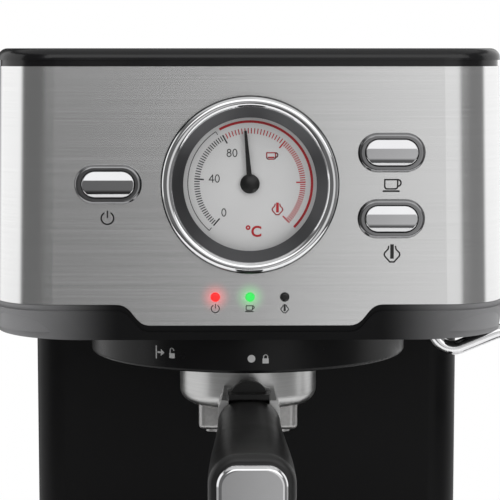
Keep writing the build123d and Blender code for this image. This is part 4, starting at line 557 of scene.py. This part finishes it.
def cup_icon(size, width, saucer=True):
    """A straight cup with a round-cornered foot and a handle, on a saucer."""
    left = -size * 0.43
    right = size * 0.28
    rim = size * 0.33
    foot = -size * 0.18
    corner = size * 0.14
    shapes = stroke([(left, foot + corner), (left, rim), (right, rim), (right, foot + corner)], width)
    shapes += stroke(arc_points(corner, 270, 180, centre=(left + corner, foot + corner)), width)
    shapes += stroke(arc_points(corner, 90, 180, centre=(right - corner, foot + corner)), width)
    shapes += stroke([(left + corner, foot), (right - corner, foot)], width)
    grip = (rim - foot) * 0.36
    shapes += stroke(arc_points(grip, 0, 180, centre=(right, rim - grip)), width)
    line = foot - 1.5 * width if saucer else foot + corner
    reach = size * 0.45 if saucer else -left - 2 * width
    shapes += stroke([(-reach - size * 0.05, line), (reach - size * 0.1, line)], width * 1.2)
    return shapes


def steam_icon(size, width):
    """A bellied jet, open at its top, round an upright bar."""
    half_outline = [
        (0.19, 0.38), (0.22, 0.22), (0.40, 0.04), (0.43, -0.08), (0.38, -0.19), (0.22, -0.36), (0.12, -0.48),
        (0.0, -0.48),
    ]
    shapes = []
    for side in (-1, 1):
        shapes += stroke([(side * x * size, z * size) for x, z in half_outline], width)
    half = width * 1.2
    return shapes + [[(-half, -0.3 * size), (half, -0.3 * size), (half, 0.5 * size), (-half, 0.5 * size)]]


def padlock_icon(size, width, opened):
    """A small padlock, its shackle swung clear when opened."""
    half = size * 0.32
    low = -size * 0.5
    top = size * 0.02
    shackle = arc_points(half * 0.66, 270, 450, centre=(0.0, top + size * 0.16))
    lift = size * 0.14 if opened else 0.0
    shackle = [(x, z + lift) for x, z in shackle]
    legs = [(shackle[0][0], top)] + shackle
    if not opened:
        legs.append((shackle[-1][0], top))
    return [[(-half, low), (half, low), (half, top), (-half, top)]] + stroke(legs, width)


def drop_icon(size, width):
    """A drop of water."""
    belly = size * 0.3
    points = arc_points(belly, 60, 300, centre=(0.0, -size * 0.2))
    return stroke([(0.0, size * 0.5)] + points + [(0.0, size * 0.5)], width)


def figure_shapes(figure, height, width):
    """Plain figures drawn with a round pen, centred."""
    outlines = {
        "0": [[(0.27 * x, 0.5 * z) for x, z in arc_points(1.0, 0, 360, count=24)]],
        "4": [[(0.16, -0.5), (0.16, 0.5), (-0.32, -0.2), (0.34, -0.2)]],
        "8": [arc_points(0.22, 0, 360, centre=(0.0, 0.27)), arc_points(0.27, 0, 360, centre=(0.0, -0.22))],
    }
    shapes = []
    for place, digit in enumerate(figure):
        shift = (place - (len(figure) - 1) / 2) * FIGURE_PITCH
        for outline in outlines[digit]:
            shapes += stroke([((x + shift) * height, z * height) for x, z in outline], width)
    return shapes


def print_text(name, words, height, boldness, ink, place):
    """Plain type as flat ink, its strokes widened by boldness on each side."""
    curve = bpy.data.curves.new(name, "FONT")
    curve.body = words
    curve.size = height * 1.37
    curve.offset = boldness
    curve.align_x = "CENTER"
    curve.align_y = "CENTER"
    holder = bpy.data.objects.new(name + "_outline", curve)
    bpy.context.scene.collection.objects.link(holder)
    bpy.context.view_layer.update()
    outline = bpy.data.meshes.new_from_object(holder.evaluated_get(bpy.context.evaluated_depsgraph_get()))
    polygons = [[tuple(outline.vertices[i].co[:2]) for i in face.vertices] for face in outline.polygons]
    bpy.data.objects.remove(holder)
    bpy.data.meshes.remove(outline)
    return print_marks(name, polygons, ink, place)


# Dial scale, figures and icons
dial_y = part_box("gauge_dial")[0][1] / MM


def on_dial(spot):
    """Places flat points round a spot on the dial, given from its centre."""
    return on_front(spot[0], GAUGE_Z + spot[1], dial_y)


dial = on_dial((0.0, 0.0))
cold_marks = []
hot_marks = []
for section, (start, end) in enumerate(zip(SCALE_ANGLES, SCALE_ANGLES[1:])):
    last_section = section == len(SCALE_ANGLES) - 2
    for step in range(SCALE_STEPS + last_section):
        marks = cold_marks if section * SCALE_STEPS + step <= SCALE_COLD_SECTIONS * SCALE_STEPS else hot_marks
        angle = start + (end - start) * step / SCALE_STEPS
        major = step in (0, SCALE_STEPS)
        inner = TICK_MAJOR_R if major else TICK_MINOR_R
        width = TICK_MAJOR_W if major else TICK_W
        marks.append(tick(inner, TICK_OUT_R, angle, width))
cold_start = SCALE_ANGLES[0]
hot_start = SCALE_ANGLES[SCALE_COLD_SECTIONS]
cold_end = hot_start - ARC_GAP
cold_marks += band(ARC_R - ARC_COLD_W / 2, ARC_R + ARC_COLD_W / 2, cold_start, cold_end)
for hook in (cold_start, cold_end):
    cold_marks += stroke([clock(ARC_R, hook), clock(ARC_R - HOOK_L, hook)], ARC_COLD_W)
hot_marks += band(ARC_R - ARC_HOT_W / 2, ARC_R + ARC_HOT_W / 2, hot_start, SCALE_ANGLES[-1])
print_marks("scale_cold", cold_marks, INK_GREY, dial)
print_marks("scale_hot", hot_marks, INK_RED, dial)
for figure, spot in FIGURES_AT.items():
    print_marks("figure_" + figure, figure_shapes(figure, FIGURE_H, FIGURE_LINE), INK_GREY, on_dial(spot))
print_text("figure_degrees", "°C", DEGREES_H, DEGREES_BOLDNESS, INK_RED, on_dial(DEGREES_AT))
dial_cup = cup_icon(DIAL_ICON, DIAL_ICON_LINE, saucer=False)
print_marks("dial_cup", dial_cup, INK_RED, on_dial(DIAL_CUP_AT))
dial_steam = steam_icon(DIAL_ICON, DIAL_ICON_LINE)
print_marks("dial_steam", dial_steam, INK_RED, on_dial(DIAL_STEAM_AT))

# Icons on the steel front
for button, (shapes, x, z) in {
    "power": (power_icon(POWER_ICON, BUTTON_ICON_LINE), -BUTTON_ICON_X, POWER_ICON_Z),
    "coffee": (cup_icon(BUTTON_ICON, BUTTON_ICON_LINE), BUTTON_ICON_X, COFFEE_ICON_Z),
    "steam": (steam_icon(BUTTON_ICON, BUTTON_ICON_LINE), BUTTON_ICON_X, STEAM_ICON_Z),
}.items():
    print_marks(button + "_mark", shapes, INK_BLACK, on_front(x, z))
for lamp, (x, icon) in {
    "power": (-LAMP_PITCH, power_icon),
    "ready": (0.0, cup_icon),
    "steam": (LAMP_PITCH, steam_icon),
}.items():
    shapes = icon(LAMP_ICON, LAMP_ICON_LINE)
    print_marks(lamp + "_lamp_mark", shapes, INK_BLACK, on_front(x, LAMP_ICON_Z))

# Insert and lock marks on the skirt
ARROW = stroke([(-1.9, -2.5), (-1.9, 2.5)], 0.6) + stroke([(-1.0, 0.0), (0.6, 0.0)], 0.7)
ARROW += [[(0.4, -1.5), (2.2, 0.0), (0.4, 1.5)]]
print_marks("insert_arrow", ARROW, INK_WHITE, on_skirt(INSERT_ARROW_DEG, INSERT_Z))
open_lock = padlock_icon(LOCK_ICON, LOCK_ICON_LINE, True)
print_marks("insert_lock", open_lock, INK_WHITE, on_skirt(INSERT_LOCK_DEG, INSERT_Z))
print_marks("lock_dot", disc(LOCK_DOT_R), INK_WHITE, on_skirt(LOCK_DOT_DEG, LOCK_Z))
closed_lock = padlock_icon(LOCK_ICON, LOCK_ICON_LINE, False)
print_marks("lock_lock", closed_lock, INK_WHITE, on_skirt(LOCK_LOCK_DEG, LOCK_Z))

# Steam icon and opening wedge above the knob
knob_low, knob_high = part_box("steam_knob")
knob_y = (knob_low[1] + knob_high[1]) / 2 / MM
knob_z = (knob_low[2] + knob_high[2]) / 2 / MM
wedge = []
for step in range(WEDGE_STEPS):
    share = (step + 1) / WEDGE_STEPS
    start = WEDGE_FROM + (WEDGE_TO - WEDGE_FROM) * step / WEDGE_STEPS
    end = WEDGE_FROM + (WEDGE_TO - WEDGE_FROM) * share
    wedge += band(WEDGE_R, WEDGE_R + WEDGE_W * share, start, end)
print_marks("knob_wedge", wedge, INK_BLACK, on_right_side("front_panel", knob_y, knob_z))
above_knob = on_right_side("front_panel", knob_y, knob_z + KNOB_ICON_RISE)
print_marks("knob_steam", steam_icon(BUTTON_ICON, BUTTON_ICON_LINE), INK_BLACK, above_knob)

# Level marks on the water tank's right side
tank_low, tank_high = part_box("water_tank")
tank_y = (tank_low[1] + tank_high[1]) / 2 / MM
levels = []
for level in range(LEVEL_COUNT):
    half = LEVEL_LONG / 2 if level in (0, LEVEL_COUNT - 1) else LEVEL_SHORT / 2
    height = level * LEVEL_PITCH
    levels += stroke([(-half, height), (half, height)], LEVEL_LINE)
on_tank = on_right_side("water_tank", tank_y, LEVEL_LOW_Z)
print_marks("tank_levels", levels, INK_WHITE, on_tank, "water_tank")
above_levels = on_right_side("water_tank", tank_y, LEVEL_LOW_Z + LEVEL_COUNT * LEVEL_PITCH)
print_marks("tank_drop", drop_icon(DROP_ICON, DROP_ICON_LINE), INK_WHITE, above_levels, "water_tank")


# Studio: white to the eye, and in polished faces grey walls, a bright card ahead and one at each side
WALL_LEVELS = [
    (-180, 0.1), (-150, 0.1), (-72, 0.13), (-8, 0.13), (-2, 0.19), (8, 0.72), (33, 0.72), (39, 0.19),
    (150, 0.19), (180, 0.1),
]
WALL_HEIGHTS = [(-1.0, 0.2), (-0.5, 0.2), (-0.38, 1.0), (1.0, 1.0)]
SIDE_CARDS = [
    (-180, 0.0), (-150, 0.0), (-140, 0.7), (-134, 1.0), (-73, 1.0), (-66, 0.0), (84, 0.0), (92, 1.0),
    (160, 1.0), (172, 0.0), (180, 0.0),
]
SIDE_HEIGHTS = [(-1.0, 0.4), (-0.24, 0.4), (-0.18, 1.0), (0.5, 1.0), (0.6, 0.0), (1.0, 0.0)]
FRONT_CARD = [(-180, 0.0), (-30, 0.0), (-20, 1.0), (50, 1.0), (56, 0.0), (180, 0.0)]
FRONT_HEIGHTS = [(-1.0, 0.0), (0.16, 0.0), (0.2, 1.3), (0.66, 1.3), (0.74, 0.0), (1.0, 0.0)]
CEILING_HEIGHTS = [(-1.0, 0.0), (0.6, 0.0), (0.76, 0.6), (1.0, 0.6)]
FILL_STRENGTH = 0.6


def add_ramp(tree, value, stops, low, high):
    """Grey levels along a value that runs from low to high."""
    span = tree.nodes.new("ShaderNodeMapRange")
    span.inputs["From Min"].default_value = low
    span.inputs["From Max"].default_value = high
    tree.links.new(value, span.inputs["Value"])
    ramp = tree.nodes.new("ShaderNodeValToRGB")
    elements = ramp.color_ramp.elements
    while len(elements) < len(stops):
        elements.new(1.0)
    for element, (position, level) in zip(elements, stops):
        element.position = (position - low) / (high - low)
        element.color = (level, level, level, 1.0)
    tree.links.new(span.outputs["Result"], ramp.inputs["Fac"])
    return ramp.outputs["Color"]


world = bpy.data.worlds.new("studio")
bpy.context.scene.world = world
world.use_nodes = True
tree = world.node_tree
tree.nodes.clear()
coords = tree.nodes.new("ShaderNodeTexCoord")
split = tree.nodes.new("ShaderNodeSeparateXYZ")
tree.links.new(coords.outputs["Generated"], split.inputs["Vector"])
forward = add_math(tree, "MULTIPLY", split.outputs["Y"], -1.0)
azimuth = add_math(tree, "DEGREES", add_math(tree, "ARCTAN2", split.outputs["X"], forward), 0.0)
height = split.outputs["Z"]


def add_card(levels, heights):
    """Brightness by direction: a profile round the machine times a profile in height."""
    around = add_ramp(tree, azimuth, levels, -180, 180)
    return add_math(tree, "MULTIPLY", around, add_ramp(tree, height, heights, -1.0, 1.0))


surroundings = add_ramp(tree, height, CEILING_HEIGHTS, -1.0, 1.0)
for levels, heights in (
    (WALL_LEVELS, WALL_HEIGHTS),
    (SIDE_CARDS, SIDE_HEIGHTS),
    (FRONT_CARD, FRONT_HEIGHTS),
):
    surroundings = add_math(tree, "MAXIMUM", surroundings, add_card(levels, heights))
mirrored = tree.nodes.new("ShaderNodeBackground")
tree.links.new(surroundings, mirrored.inputs["Color"])
white = tree.nodes.new("ShaderNodeBackground")
white.inputs["Color"].default_value = (1.0, 1.0, 1.0, 1.0)
fill = tree.nodes.new("ShaderNodeBackground")
fill.inputs["Color"].default_value = (1.0, 1.0, 1.0, 1.0)
fill.inputs["Strength"].default_value = FILL_STRENGTH
path = tree.nodes.new("ShaderNodeLightPath")
in_mirror = add_math(tree, "MAXIMUM", path.outputs["Is Glossy Ray"], path.outputs["Is Transmission Ray"])
lit_or_mirror = tree.nodes.new("ShaderNodeMixShader")
tree.links.new(in_mirror, lit_or_mirror.inputs["Fac"])
tree.links.new(fill.outputs["Background"], lit_or_mirror.inputs[1])
tree.links.new(mirrored.outputs["Background"], lit_or_mirror.inputs[2])
seen = tree.nodes.new("ShaderNodeMixShader")
tree.links.new(path.outputs["Is Camera Ray"], seen.inputs["Fac"])
tree.links.new(lit_or_mirror.outputs["Shader"], seen.inputs[1])
tree.links.new(white.outputs["Background"], seen.inputs[2])
output = tree.nodes.new("ShaderNodeOutputWorld")
tree.links.new(seen.outputs["Shader"], output.inputs["Surface"])


def soft_light(name, at, towards, width, height, power):
    """A large rectangular lamp."""
    lamp = bpy.data.lights.new(name, "AREA")
    lamp.shape = "RECTANGLE"
    lamp.size = width
    lamp.size_y = height
    lamp.energy = power
    holder = bpy.data.objects.new(name, lamp)
    bpy.context.scene.collection.objects.link(holder)
    holder.location = at
    holder.rotation_euler = (Vector(towards) - Vector(at)).to_track_quat("-Z", "Y").to_euler()
    holder.visible_glossy = False


soft_light("top_light", (0.1, -0.35, 1.4), (0.0, -0.05, 0.2), 1.2, 0.9, 9.0)
soft_light("right_light", (1.1, -0.9, 0.7), (0.0, -0.1, 0.2), 0.7, 0.9, 6.0)
soft_light("left_light", (-1.2, -0.6, 0.6), (0.0, -0.1, 0.2), 0.5, 0.9, 3.0)

# Floor: a pale disc that fades to the white around it, keeps the machine's shadow and is clear from below
FLOOR_R = 0.46
FLOOR_FADE_FROM = 0.26
FLOOR_SIDES = 96
floor_mesh = bpy.data.meshes.new("floor")
rim = [math.tau * k / FLOOR_SIDES for k in range(FLOOR_SIDES)]
floor_rim = [(FLOOR_R * math.cos(a), FLOOR_R * math.sin(a), 0.0) for a in rim]
floor_mesh.from_pydata(floor_rim, [], [range(FLOOR_SIDES)])
floor = bpy.data.objects.new("floor", floor_mesh)
bpy.context.scene.collection.objects.link(floor)
floor_material, floor_tree, floor_shader = new_material("floor_white")
floor_shader.inputs["Base Color"].default_value = (0.9, 0.9, 0.9, 1.0)
floor_shader.inputs["Roughness"].default_value = 0.7
floor_coords = floor_tree.nodes.new("ShaderNodeTexCoord")
floor_length = floor_tree.nodes.new("ShaderNodeVectorMath")
floor_length.operation = "LENGTH"
floor_tree.links.new(floor_coords.outputs["Object"], floor_length.inputs[0])
floor_fade = floor_tree.nodes.new("ShaderNodeMapRange")
floor_fade.interpolation_type = "SMOOTHSTEP"
floor_fade.inputs["From Min"].default_value = FLOOR_FADE_FROM
floor_fade.inputs["From Max"].default_value = FLOOR_R
floor_fade.inputs["To Min"].default_value = 0.3
floor_tree.links.new(floor_length.outputs["Value"], floor_fade.inputs["Value"])
floor_path = floor_tree.nodes.new("ShaderNodeLightPath")
floor_seen = floor_path.outputs["Is Camera Ray"]
floor_share = add_math(floor_tree, "MULTIPLY", floor_seen, floor_fade.outputs["Result"])
floor_glow = floor_tree.nodes.new("ShaderNodeEmission")
floor_mix = floor_tree.nodes.new("ShaderNodeMixShader")
floor_tree.links.new(floor_share, floor_mix.inputs["Fac"])
floor_tree.links.new(floor_shader.outputs["BSDF"], floor_mix.inputs[1])
floor_tree.links.new(floor_glow.outputs["Emission"], floor_mix.inputs[2])
floor_side = floor_tree.nodes.new("ShaderNodeNewGeometry")
floor_clear = floor_tree.nodes.new("ShaderNodeBsdfTransparent")
floor_seen_from = floor_tree.nodes.new("ShaderNodeMixShader")
floor_tree.links.new(floor_side.outputs["Backfacing"], floor_seen_from.inputs["Fac"])
floor_tree.links.new(floor_mix.outputs["Shader"], floor_seen_from.inputs[1])
floor_tree.links.new(floor_clear.outputs["BSDF"], floor_seen_from.inputs[2])
floor_tree.links.new(floor_seen_from.outputs["Shader"], floor_tree.nodes["Material Output"].inputs["Surface"])
floor_mesh.materials.append(floor_material)

# Camera
camera_data = bpy.data.cameras.new("camera")
camera_data.lens = CAMERA_LENS
camera_data.sensor_width = SENSOR_WIDTH
camera = bpy.data.objects.new("camera", camera_data)
bpy.context.scene.collection.objects.link(camera)
camera.location = CAMERA_AT
camera.rotation_euler = (Vector(CAMERA_LOOKS_AT) - Vector(CAMERA_AT)).to_track_quat("-Z", "Y").to_euler()
bpy.context.scene.camera = camera
bpy.context.scene.view_settings.view_transform = "Standard"
